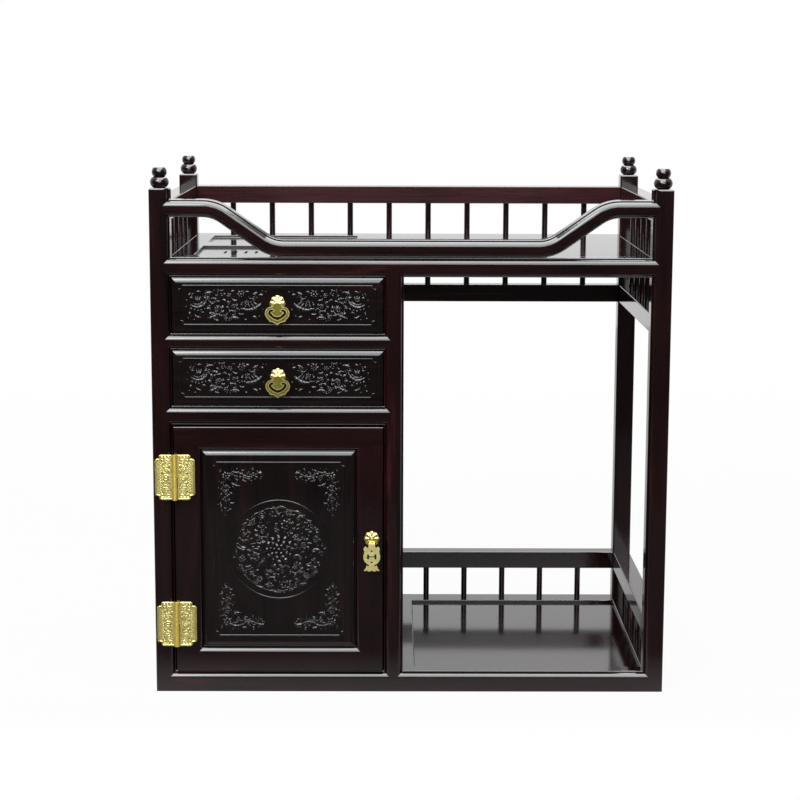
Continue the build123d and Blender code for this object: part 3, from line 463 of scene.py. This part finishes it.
# ---------------------------------------------------------------- carved strokes
# A stroke is a list of (x, z, half width, lift) in millimetres, seen from the front.
def comma(x, z, heading, run, curl, width, lift=0.0):
    """A comma-shaped leaf: it swells near its foot and tapers as it curls. Angles in degrees."""
    points = []
    angle = radians(heading)
    for swell in (0.45, 0.95, 1.0, 0.74, 0.42, 0.12):
        points.append((x, z, width / 2 * swell, lift))
        x += cos(angle) * run / 5
        z += sin(angle) * run / 5
        angle += radians(curl) / 5
    return points


def scroll(x, z, outer, inner, start, sweep, width, end_width):
    """A spiral stem round a centre."""
    count = max(5, round(abs(sweep) / 38))
    points = []
    for i in range(count + 1):
        t = i / count
        angle, reach = radians(start + sweep * t), outer + (inner - outer) * t
        points.append((x + reach * cos(angle), z + reach * sin(angle), (width + (end_width - width) * t) / 2, 0.0))
    return points


def dot(x, z, radius, lift=0.0):
    """A round bead."""
    return [(x + s * radius, z, radius * w, lift) for s, w in ((-0.9, 0.25), (-0.45, 0.9), (0.45, 0.9), (0.9, 0.25))]


def flower(x, z, radius, petals=6, turn=0.0):
    """A small flower: a ring of round petals about a bead."""
    strokes = []
    for i in range(petals):
        angle = turn + 360 * i / petals
        a = radians(angle)
        px, pz = x + 0.34 * radius * cos(a), z + 0.34 * radius * sin(a)
        strokes.append(comma(px, pz, angle, 0.72 * radius, 40, 2.5 * radius / petals * 1.25))
    return strokes + [dot(x, z, 0.3 * radius, 0.25 * radius)]


def leafy_scroll(x, z, reach, start, sweep, leaves, bloom=True):
    """A spiral stem with comma leaves thrown off outside it and a flower or bead in its eye."""
    strokes = [scroll(x, z, reach, 0.30 * reach, start, sweep, 0.17 * reach, 0.10 * reach)]
    way = 1 if sweep > 0 else -1
    for i in range(leaves):
        t = (i + 0.4) / leaves * 0.72
        angle = start + sweep * t
        r = reach * (1 - 0.7 * t)
        px, pz = x + r * cos(radians(angle)), z + r * sin(radians(angle))
        heading = angle + way * 38
        size = reach * (0.62 - 0.2 * t)
        strokes.append(comma(px, pz, heading, size, way * 105, 0.30 * reach))
        strokes.append(comma(px, pz, heading + way * 62, 0.66 * size, way * 70, 0.22 * reach))
    if bloom:
        strokes += flower(x, z, 0.36 * reach, 5, start)
    else:
        strokes.append(dot(x, z, 0.2 * reach))
    return strokes


def moved(strokes, dx=0.0, dz=0.0, flip_x=1, flip_z=1, turn=0.0):
    """Strokes turned, mirrored and moved, in that order."""
    c, s = cos(radians(turn)), sin(radians(turn))
    return [
        [(dx + flip_x * (x * c - z * s), dz + flip_z * (x * s + z * c), w, lift) for x, z, w, lift in stroke]
        for stroke in strokes
    ]


def both_ways(strokes):
    """Strokes and their mirror image."""
    return strokes + moved(strokes, flip_x=-1)


def feather(x, z, heading, run, curl, ribs, width):
    """A curled leaf with short ribs along its inner side."""
    strokes = [comma(x, z, heading, run, curl, width)]
    way = 1 if curl > 0 else -1
    for i in range(ribs):
        t = (i + 0.8) / (ribs + 0.6)
        along = radians(heading + curl * t / 2)
        px, pz = x + run * t * cos(along), z + run * t * sin(along)
        rib = 0.40 * run * (1 - 0.45 * t)
        strokes.append(comma(px, pz, heading + curl * t + way * 58, rib, way * 50, 0.55 * width))
    return strokes


def boat(x, z, size):
    """A crescent with curled horns, a bud standing in it and beads under it."""
    strokes = [
        comma(x - 1.05 * size, z + 0.30 * size, -62, 2.5 * size, 125, 0.46 * size),
        comma(x - 0.70 * size, z + 0.32 * size, -55, 1.6 * size, 110, 0.26 * size),
        comma(x + 1.0 * size, z + 0.5 * size, 110, 0.7 * size, 160, 0.24 * size),
        comma(x - 1.05 * size, z + 0.5 * size, 70, 0.7 * size, -160, 0.24 * size),
    ]
    for spread in (90, 56, 124):
        strokes.append(comma(x, z + 0.12 * size, spread, 0.85 * size, (90 - spread) * 0.9, 0.34 * size, 0.4))
    for k in (-2, -1, 0, 1, 2):
        strokes.append(dot(x + k * 0.42 * size, z - 0.92 * size + 0.12 * size * abs(k), 0.15 * size))
    return strokes


def drawer_vine():
    """Leaf scrolls, flowers and crescents, mirrored about the pull, 282 mm wide and 53 mm high."""
    half = feather(25, 3, -48, 36, 88, 5, 5.4) + feather(31, 20, -20, 17, -95, 3, 3.6) + flower(56, 17, 7.0, 7)
    half += leafy_scroll(68, -2, 9.5, 70, -400, 6) + leafy_scroll(93, -6, 13.5, 110, -440, 8)
    half += leafy_scroll(86, 18, 7.5, -60, 380, 4, bloom=False) + boat(122, 3, 12.5)
    half += feather(107, -20, 172, 19, -62, 4, 4.0) + feather(60, -20, 20, 18, -70, 4, 3.6)
    half += feather(100, 20, 5, 19, -85, 4, 3.6)
    half += flower(47, 4, 4.6, 6, 20) + flower(74, 15, 4.4, 6) + flower(107, 10, 4.4, 5, 30) + flower(80, -18, 4.2, 5)
    leaves = (
        (22, 14, 60, 9, -120, 3.0), (38, -17, 190, 12, 90, 3.2), (48, -7, 40, 9, -100, 3.0),
        (44, 21, 10, 9, -110, 2.8), (62, 8, -20, 10, 110, 3.0), (79, 5, 70, 9, -120, 2.8),
        (76, -11, -70, 10, 110, 2.8), (52, -13, -30, 9, 100, 2.6), (112, -12, 30, 10, -130, 3.0),
        (118, -19, 0, 11, 70, 3.0), (134, -10, -60, 9, -110, 2.8), (118, 21, 10, 10, -90, 3.0),
        (133, 19, -40, 9, -100, 2.6), (96, 12, -40, 7, 90, 2.4), (66, 22, 15, 8, -100, 2.4),
        (91, -23, 0, 9, 70, 2.4), (104, 1, -80, 9, 80, 2.6), (36, 11, -30, 8, 90, 2.4),
        (130, 12, 60, 8, 100, 2.2), (70, -15, 190, 7, -90, 2.2),
    )
    beads = (
        (18, 21, 1.3), (23, 22, 1.1), (28, -17, 1.6), (49, -22, 1.7), (36, 4, 1.2), (52, 23, 1.1), (59, -7, 1.2),
        (79, -23, 1.5), (97, 23, 1.1), (109, 22, 1.2), (139, 8, 1.4), (140, -2, 1.2), (137, -20, 1.5), (128, -22, 1.2),
        (44, 13, 1.0), (82, 10, 1.0), (103, -13, 1.2), (112, 17, 1.0), (22, -6, 1.2), (31, 12, 1.0), (66, 14, 1.0),
        (127, 22, 1.1),
    )
    return both_ways(half + [comma(*leaf) for leaf in leaves] + [dot(*bead) for bead in beads])


def corner_spray():
    """L-shaped leaf spray for the upper left corner of the door's field; its corner is the origin."""
    strokes = flower(11, -11, 7.5, 7)
    strokes += leafy_scroll(27, -12, 8.5, 170, -380, 4) + leafy_scroll(11, -28, 8.5, 100, 380, 4)
    strokes += leafy_scroll(44, -9, 7.0, 190, 360, 4, bloom=False)
    strokes += leafy_scroll(10, -46, 7.0, 80, -360, 4, bloom=False)
    strokes += [
        [(15, -8, 0.8, 0), (24, -3, 1.0, 0), (36, -7, 1.0, 0), (46, -15, 0.9, 0), (57, -9, 0.9, 0), (64, -4, 0.8, 0)],
        [(8, -15, 0.8, 0), (3, -24, 1.0, 0), (7, -36, 1.0, 0), (15, -46, 0.9, 0), (9, -57, 0.9, 0), (8, -64, 0.8, 0)],
    ]
    for leaf in (
        (58, -9, 45, 17, -150, 4.2), (56, -11, -20, 12, -120, 3.0), (9, -60, -110, 12, 90, 3.6),
        (9, -60, -70, 13, -80, 3.4), (20, -22, -45, 14, 70, 3.4), (20, -22, -30, 10, -60, 2.6),
        (36, -16, -60, 9, 110, 2.6), (34, -3, 30, 8, -100, 2.6), (50, -3, 20, 8, 100, 2.6),
        (17, -37, -20, 9, -110, 2.6), (4, -38, -120, 8, 100, 2.6), (3, -52, -100, 8, -100, 2.6),
        (3, -6, 120, 7, -90, 2.6), (49, -17, -40, 8, -110, 2.6), (17, -53, -40, 8, 110, 2.6),
    ):
        strokes.append(comma(*leaf))
    small = 13
    for i in range(small):
        along = 44 * i / (small - 1)
        strokes.append(comma(22 + along, -6 - 5 * (i % 3), 40 + 95 * i, 5.5, 110, 1.9))
        strokes.append(comma(5 + 5 * (i % 3), -24 - along, 70 + 95 * i, 5.5, -110, 1.9))
    beads = (
        (20, 0), (0, -20), (40, -1), (1, -44), (66, -12), (14, -66), (9, -73), (52, 1), (2, -2), (27, -22), (22, -28),
        (32, -13), (13, -34), (38, -12), (12, -40), (50, -12), (11, -54), (60, -3), (3, -60), (28, 1), (-1, -30),
        (17, -17), (56, -16), (16, -58),
    )
    return strokes + [dot(x, z, 1.0 + 0.25 * (i % 3)) for i, (x, z) in enumerate(beads)]


def scattered(count, inner, outer):
    """Small leaves and beads spread evenly over a ring-shaped field, each turned on by the golden angle."""
    strokes = []
    for i in range(count):
        reach = sqrt(inner**2 + (outer**2 - inner**2) * (i + 0.5) / count)
        turn = i * GOLDEN_ANGLE
        x, z = reach * cos(radians(turn)), reach * sin(radians(turn))
        if i % 3 == 2:
            strokes.append(dot(x, z, 0.9 + 0.2 * (i % 4)))
        else:
            curl = (100, -120, 70, -90)[i % 4]
            strokes.append(comma(x, z, turn * 1.7 + 40 * (i % 5), 6.5 + i % 3, curl, 2.0 + 0.35 * (i % 3)))
    return strokes


def medallion():
    """Peony in leaf and cloud scrolls, filling a circle of 74 mm radius."""
    strokes = [scroll(0, 0, 73.6, 73.6, 0, 360, 1.0, 1.0), dot(0, 0, 3.0, 1.6)]
    for foot, count, run, width, turn in ((4.5, 6, 7.5, 5.0, 0), (10, 9, 8.5, 6.4, 18), (16, 12, 8.5, 6.8, 4)):
        for i in range(count):
            angle = turn + 360 * i / count
            x, z = foot * cos(radians(angle)), foot * sin(radians(angle))
            strokes.append(comma(x, z, angle - 18, run, 60, width, max(0.0, 2.0 - foot / 9)))
    for i in range(6):
        angle = 60 * i + 12
        way = 1 if i % 2 else -1
        leaves = [comma(48, 15, 40, 12, -110, 3.6), comma(50, -13, -30, 11, 120, 3.4), comma(66, -5, -75, 12, -50, 3.2)]
        for part, turn in (
            (leafy_scroll(39, 0, 11.5, 200, way * 420, 7, bloom=i % 3 != 1), 0),
            (leafy_scroll(59, 0, 8.0, 20, -way * 400, 6, bloom=False), 27),
            (feather(24, -6, 60, 17, -100, 4, 3.8) + feather(50, 16, 30, 19, -95, 4, 3.8), 30),
            (flower(60, 0, 6.0, 7) + feather(66, 5, 75, 16, 45, 4, 3.2), 3),
            (leaves, 0),
        ):
            strokes += moved(part, turn=angle + turn)
    return strokes + scattered(150, 23, 70)


def raised(name, strokes, centre, face, flatness, body, material, boldness=1.0):
    """Strokes as one relief that stands out of a face; half of each round stroke is sunk in the board."""
    line = bpy.data.curves.new(name, "CURVE")
    line.dimensions = "3D"
    line.bevel_depth = 1.0
    line.bevel_resolution = 2
    line.use_fill_caps = True
    line.resolution_u = 2
    for stroke in strokes:
        spline = line.splines.new("NURBS")
        spline.points.add(len(stroke) - 1)
        for point, (x, z, width, lift) in zip(spline.points, stroke):
            point.co = (x * MM, -lift * MM / flatness, z * MM, 1)
            point.radius = width * MM * boldness
        spline.order_u = min(4, len(stroke))
        spline.use_endpoint_u = True
    carrier = bpy.data.objects.new(name + "_line", line)
    bpy.context.scene.collection.objects.link(carrier)
    solid = bpy.data.meshes.new_from_object(carrier.evaluated_get(bpy.context.evaluated_depsgraph_get()))
    bpy.data.objects.remove(carrier)
    bm = bmesh.new()
    bm.from_mesh(solid)
    bpy.data.meshes.remove(solid)
    bmesh.ops.remove_doubles(bm, verts=bm.verts, dist=1e-7)
    bmesh.ops.scale(bm, vec=(1, flatness, 1), verts=bm.verts)
    bmesh.ops.translate(bm, vec=(centre[0], face, centre[1]), verts=bm.verts)
    bmesh.ops.recalc_face_normals(bm, faces=bm.faces)
    return piece(name, bm, body, material, sharp=60)


def middle_of(node):
    """Middle of a node in front view."""
    low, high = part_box(node)
    return (low.x + high.x) / 2, (low.z + high.z) / 2


# ---------------------------------------------------------------- operators
class CABINET_OT_woodwork(Operator):
    """Polish the frame, the rails, the boards and the drawer boxes"""

    bl_idname = "cabinet.woodwork"
    bl_label = "Woodwork"

    def execute(self, context):
        for node, slot in SLOT_OF.items():
            if slot in ("lacquered_wood", "carcass_wood"):
                bm = rounded_beads(node) if node.startswith(CARVED) else whole_copy(node)
                dressed(node, edge=sizes().arris if node in EASED else 0.0, bm=bm)
        return {"FINISHED"}


class CABINET_OT_fittings(Operator):
    """Finish the catch pan, the magnet catch and its plate"""

    bl_idname = "cabinet.fittings"
    bl_label = "Pan and catch"

    def execute(self, context):
        for node in ("catch_pan", "door_strike", "door_catch"):
            dressed(node, edge=sizes().brass_edge)
        return {"FINISHED"}


class CABINET_OT_drawer_carving(Operator):
    """Carve the scrolling vine on both drawer fronts"""

    bl_idname = "cabinet.drawer_carving"
    bl_label = "Drawer carving"

    def execute(self, context):
        for level in ("upper", "lower"):
            node = "drawer_front_" + level
            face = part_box(node)[0].y + BEAD_PROUD
            raised(
                f"drawer_carving_{level}", drawer_vine(), middle_of(node), face, sizes().leaf,
                BODY_OF[node], lacquer("relief", "X"), sizes().boldness,
            )
        return {"FINISHED"}


class CABINET_OT_door_carving(Operator):
    """Carve the corner sprays and the medallion on the door panel"""

    bl_idname = "cabinet.door_carving"
    bl_label = "Door carving"

    def execute(self, context):
        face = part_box("door_panel")[0].y + BEAD_PROUD
        centre = middle_of("door_panel")
        dx, dz = SPRAY_CORNER
        sprays = []
        for across in (1, -1):
            for up in (1, -1):
                sprays += moved(corner_spray(), dx=-across * dx, dz=up * dz, flip_x=across, flip_z=up)
        wood = lacquer("relief", "Z")
        for name, strokes in (("door_sprays", sprays), ("door_medallion", medallion())):
            raised(name, strokes, centre, face, sizes().leaf, "door", wood, sizes().boldness)
        return {"FINISHED"}


class CABINET_OT_hinges(Operator):
    """Finish the hinges and emboss their leaves"""

    bl_idname = "cabinet.hinges"
    bl_label = "Hinges"

    def execute(self, context):
        low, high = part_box("hinge_pins")
        axis = (low.x + high.x) / 2
        centres = (low.z + HINGE_HEIGHT / 2, high.z - HINGE_HEIGHT / 2)
        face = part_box("door_stiles")[0].y - LEAF_PROUD
        for side, node in ((-1, "hinge_leaves_post"), (1, "hinge_leaves_door")):
            bm = whole_copy(node)
            for part in bm.faces:
                if abs(part.calc_center_median().x - axis) < KNUCKLE_REACH:
                    part.material_index = 1
            dressed(node, brass_ground(), edge=sizes().brass_edge, bm=bm).data.materials.append(brass("knuckle"))
            strokes = []
            for z in centres:
                strokes += moved(self.leaf_pattern(side), dz=z / MM, flip_x=side)
            raised(
                f"{node}_embossing", strokes, (axis, 0.0), face, sizes().emboss,
                BODY_OF[node], brass("stamped"), sizes().emboss_boldness,
            )
        dressed("hinge_pins", brass("knuckle"), edge=sizes().brass_edge)
        return {"FINISHED"}

    def leaf_pattern(self, side):
        """Rim, zigzag and scrolls of one leaf that lies to the right of its axis."""
        def line(points, width):
            return [[(x, z, width, 0.0) for x, z in pair] for pair in zip(points, points[1:])]

        outer = [(6, 34.2), (22.2, 34.2), (23.2, 33.4), (23.2, 28.6), (27.6, 28.0), (29.4, 26.4)]
        strokes = line(outer + [(x, -z) for x, z in reversed(outer)], 0.75)
        teeth, reach = 12, 23
        for i in range(2 * teeth):
            ends = [(22.6 + (1.3 if k % 2 else -1.3), -reach + k * reach / teeth) for k in (i, i + 1)]
            strokes.append([(x, z, 0.62, 0.15) for x, z in ends])
        middle = 14.0
        if side < 0:
            strokes.append(scroll(middle, 0, 4.4, 4.4, 0, 360, 1.6, 1.6))
            strokes.append([(middle - 1.8, 0, 0.8, 0.2), (middle, 0, 1.6, 0.3), (middle + 1.8, 0, 0.8, 0.2)])
        else:
            lozenge = [(middle - 5.4, 0), (middle, 4.8), (middle + 5.4, 0), (middle, -4.8), (middle - 5.4, 0)]
            strokes += line(lozenge, 0.75) + flower(middle, 0, 2.8, 6)
        part = leafy_scroll(middle + 0.6, 12.6, 5.4, -90, 400, 5) + leafy_scroll(middle - 1.6, 22.6, 4.4, -60, -360, 5)
        for leaf in (
            (8.6, 6.4, 100, 7.5, -60, 2.2), (19.6, 5.2, 80, 7.5, 60, 2.2), (19.4, 19.0, 80, 6.0, 90, 2.0),
            (8.2, 15.0, 80, 6, 80, 1.9), (8.2, 27.6, 0, 8, 40, 1.9), (18.0, 28.4, -20, 5, -60, 1.8),
            (8.0, 31.4, 20, 4.6, -60, 2.0), (13.0, 31.4, 20, 4.6, -60, 2.0), (18.0, 31.4, 20, 4.6, -60, 2.0),
        ):
            part.append(comma(*leaf))
        for bead in ((20.0, 14.0, 0.9), (19.6, 26.0, 0.9), (9.0, 2.6, 0.9), (19.0, 1.6, 0.9), (7.6, 11.6, 0.8)):
            part.append(dot(*bead))
        return strokes + part + moved(part, flip_z=-1)


class CABINET_OT_pulls(Operator):
    """Finish the rosettes and their pendants"""

    bl_idname = "cabinet.pulls"
    bl_label = "Pulls"

    def execute(self, context):
        for name in ("upper", "lower", "door"):
            self.rosette("pull_rosette_" + name)
            self.pendant("pull_pendant_" + name, name == "door")
        return {"FINISHED"}

    def rosette(self, node):
        """Gadrooned petals over the dome, and a bead where they meet on the door's."""
        dressed(node, edge=sizes().brass_edge)
        low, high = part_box(node)
        plate = high.y - ROSETTE_PLATE
        centre = ((low.x + high.x) / 2, high.z - ROSETTE_RADIUS)
        ball = (DOME_RADIUS**2 + DOME_HEIGHT**2) / (2 * DOME_HEIGHT)
        strokes = []
        petals = sizes().petals
        for i in range(petals):
            a = 2 * pi * i / petals
            petal = []
            for reach, width in ((1.6, 0.5), (4.0, 1.5), (6.4, 2.5), (8.6, 3.1), (10.4, 2.7), (11.5, 1.2)):
                dome = sqrt(max(0.0, ball**2 - reach**2)) - (ball - DOME_HEIGHT)
                petal.append((reach * cos(a), reach * sin(a), width, max(0.0, dome - 0.55)))
            strokes.append(petal)
        if node.endswith("door"):
            strokes.append(dot(0, 0, 1.5, 2.5))
        raised(node + "_petals", strokes, centre, plate, sizes().emboss, BODY_OF[node], brass())

    def pendant(self, node, plain):
        """A drawer pendant's face is sunk between its rims; the door's is a plain plate."""
        if plain:
            dressed(node, brass("plate"), edge=sizes().brass_edge)
            return
        bm = whole_copy(node)
        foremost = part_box(node)[0].y + 0.01 * MM
        front = [f for f in bm.faces if f.normal.y < -0.99 and f.calc_center_median().y < foremost]
        if not front:
            raise RuntimeError(node + " has no front face to work")
        bmesh.ops.inset_region(bm, faces=front, thickness=sizes().rim, depth=0.0, use_even_offset=True)
        sunk = bmesh.ops.extrude_face_region(bm, geom=[f for f in front if f.is_valid])["geom"]
        bmesh.ops.delete(bm, geom=[f for f in front if f.is_valid], context="FACES_ONLY")
        verts = [item for item in sunk if isinstance(item, bmesh.types.BMVert)]
        bmesh.ops.translate(bm, vec=(0, sizes().rim_height, 0), verts=verts)
        for item in sunk:
            if isinstance(item, bmesh.types.BMFace):
                item.material_index = 1
        dressed(node, bm=bm, sharp=25).data.materials.append(brass_ground("tarnished"))


class CABINET_OT_studio(Operator):
    """Set up the floor, the lamps, the world and the camera"""

    bl_idname = "cabinet.studio"
    bl_label = "Studio"

    def execute(self, context):
        scene = context.scene
        scene.view_settings.view_transform = "Standard"
        self.floor(scene)
        self.world(scene)
        self.lamps(scene)
        self.camera(scene)
        return {"FINISHED"}

    def floor(self, scene):
        """White to the camera but for a trace of the shadow; else pale, and dark where the fronts mirror it."""
        recipe = Recipe("studio_floor")
        place = recipe.add("SeparateXYZ", {"Vector": recipe.add("TexCoord").outputs["Object"]})

        def rise(start, end):
            """From 0 to 1 between two places along Y."""
            return recipe.add("MapRange", {"Value": place.outputs["Y"], "From Min": start, "From Max": end}).outputs[0]

        ahead, afar = rise(-0.245, -0.45), rise(1.0, 3.4)
        recipe.feed(recipe.shader, {
            "Base Color": recipe.mix("MIX", ahead, (*colours().floor, 1), (0.05, 0.05, 0.05, 1)),
            "Roughness": 0.85,
            "Specular IOR Level": 0.1,
        })
        white = recipe.add("Emission", {"Color": (1, 1, 1, 1), "Strength": 1.0})
        far_out = recipe.add("Math", {0: ahead, 1: afar}, operation="MAXIMUM").outputs[0]
        whiteness = recipe.add("Math", {0: far_out, 1: 0.05, 2: 0.95}, operation="MULTIPLY_ADD").outputs[0]
        seen = recipe.add("LightPath").outputs["Is Camera Ray"]
        glow = recipe.add("Math", {0: seen, 1: whiteness}, operation="MULTIPLY").outputs[0]
        blend = recipe.add("MixShader", {0: glow, 1: recipe.shader.outputs[0], 2: white.outputs[0]})
        recipe.feed(recipe.tree.nodes["Material Output"], {"Surface": blend.outputs[0]})
        bm = bmesh.new()
        bmesh.ops.create_grid(bm, x_segments=8, y_segments=8, size=3.0)
        bmesh.ops.translate(bm, vec=(0, 1.4, -0.0005), verts=bm.verts)
        mesh = bpy.data.meshes.new("studio_floor")
        bm.to_mesh(mesh)
        bm.free()
        mesh.materials.append(recipe.material)
        made = bpy.data.objects.new("studio_floor", mesh)
        scene.collection.objects.link(made)

    def world(self, scene):
        """White to the camera; in reflections bright behind and above the cabinet, dim in front of it."""
        world = bpy.data.worlds.new("studio")
        scene.world = world
        world.use_nodes = True
        tree = world.node_tree
        add, link = tree.nodes.new, tree.links.new
        direction = add("ShaderNodeSeparateXYZ")
        link(add("ShaderNodeTexCoord").outputs["Generated"], direction.inputs[0])
        path = add("ShaderNodeLightPath")

        def math(operation, *values, clamp=False):
            node = add("ShaderNodeMath")
            node.operation = operation
            node.use_clamp = clamp
            for socket, value in zip(node.inputs, values):
                if isinstance(value, bpy.types.NodeSocket):
                    link(value, socket)
                else:
                    socket.default_value = value
            return node.outputs[0]

        behind = math("MULTIPLY_ADD", direction.outputs["Y"], 1.6, 0.35, clamp=True)
        above = math("MULTIPLY_ADD", direction.outputs["Z"], 1.8, -0.45, clamp=True)
        mirrored = math("MULTIPLY_ADD", math("MAXIMUM", behind, above), 0.95, 0.05)
        glossy = path.outputs["Is Glossy Ray"]
        ambient = math("MULTIPLY", math("SUBTRACT", 1.0, glossy), 0.72)
        level = math("ADD", math("MULTIPLY", mirrored, glossy), ambient)
        shown = math("MAXIMUM", level, path.outputs["Is Camera Ray"])
        tree.nodes["Background"].inputs["Color"].default_value = (1, 1, 1, 1)
        link(shown, tree.nodes["Background"].inputs["Strength"])

    def lamps(self, scene):
        """One lamp for the colours, and three cards that only the polish and the brass mirror."""
        def lamp(name, place, target, width, height, power, mirrored_only=True):
            light = bpy.data.lights.new(name, "AREA")
            light.shape = "RECTANGLE"
            light.size, light.size_y = width, height
            light.energy = power
            made = bpy.data.objects.new(name, light)
            made.location = place
            made.rotation_mode = "QUATERNION"
            made.rotation_quaternion = (Vector(target) - Vector(place)).to_track_quat("-Z", "Y")
            made.visible_camera = False
            if mirrored_only:
                light.color = (0.95, 0.99, 1.0)
                made.visible_diffuse = False
            scene.collection.objects.link(made)

        lamp("key", (-1.3, -2.6, 2.5), (0, 0, 0.4), 1.6, 1.2, 60, mirrored_only=False)
        lamp("overhead", (0, 0.65, 3.0), (0, 0.65, 0), 2.4, 6.7, 470)
        lamp("front card", (0, -3.15, 2.12), (0, -0.456, 0.81), 2.6, 2.06, 102)
        lamp("low card", (0, -3.55, 1.02), (0, -0.5, 1.02), 2.6, 0.44, 8)

    def camera(self, scene):
        """A long lens in front of the cabinet, looking slightly down on it."""
        lens = bpy.data.cameras.new("front")
        lens.sensor_fit = "HORIZONTAL"
        lens.sensor_width = 36.0
        lens.lens = 89.404
        made = bpy.data.objects.new("front", lens)
        yaw, pitch, roll = -0.0053116, 0.1616705, -0.0031528  # radians; pitch is downwards
        ahead = Vector((-sin(yaw), cos(yaw), 0))
        across = Vector((cos(yaw), sin(yaw), 0))
        upward = Vector((0, 0, 1))
        forward = cos(pitch) * ahead - sin(pitch) * upward
        level = sin(pitch) * ahead + cos(pitch) * upward
        right = cos(roll) * across - sin(roll) * level
        up = sin(roll) * across + cos(roll) * level
        place = Matrix((right, up, -forward)).transposed().to_4x4()
        place.translation = (-0.0327086, -3.264678, 0.9614834)
        made.matrix_world = place
        scene.collection.objects.link(made)
        scene.camera = made


class CABINET_PT_panel(Panel):
    """Steps of the finish, in order"""

    bl_label = "Tea Cabinet"
    bl_idname = "CABINET_PT_panel"
    bl_space_type = "VIEW_3D"
    bl_region_type = "UI"
    bl_category = "Tea Cabinet"

    def draw(self, context):
        """A button for each step, then the sizes and colours."""
        for step in STEPS:
            self.layout.operator(step.bl_idname)
        for group in (context.scene.cabinet_sizes, context.scene.cabinet_colours):
            for name in group.bl_rna.properties.keys():
                if name not in ("rna_type", "name"):
                    self.layout.prop(group, name)


STEPS = (
    CABINET_OT_woodwork,
    CABINET_OT_fittings,
    CABINET_OT_drawer_carving,
    CABINET_OT_door_carving,
    CABINET_OT_hinges,
    CABINET_OT_pulls,
    CABINET_OT_studio,
)
CLASSES = (CabinetSizes, CabinetColours, *STEPS, CABINET_PT_panel)


def register():
    """Make the steps, the panel and the settings known."""
    for kind in CLASSES:
        bpy.utils.register_class(kind)
    bpy.types.Scene.cabinet_sizes = PointerProperty(type=CabinetSizes)
    bpy.types.Scene.cabinet_colours = PointerProperty(type=CabinetColours)


def unregister():
    """Undo register()."""
    del bpy.types.Scene.cabinet_colours
    del bpy.types.Scene.cabinet_sizes
    for kind in reversed(CLASSES):
        bpy.utils.unregister_class(kind)


def main():
    """Run every step."""
    register()
    for step in STEPS:
        group, name = step.bl_idname.split(".")
        getattr(getattr(bpy.ops, group), name)()
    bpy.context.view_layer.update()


if __name__ == "__main__":
    main()
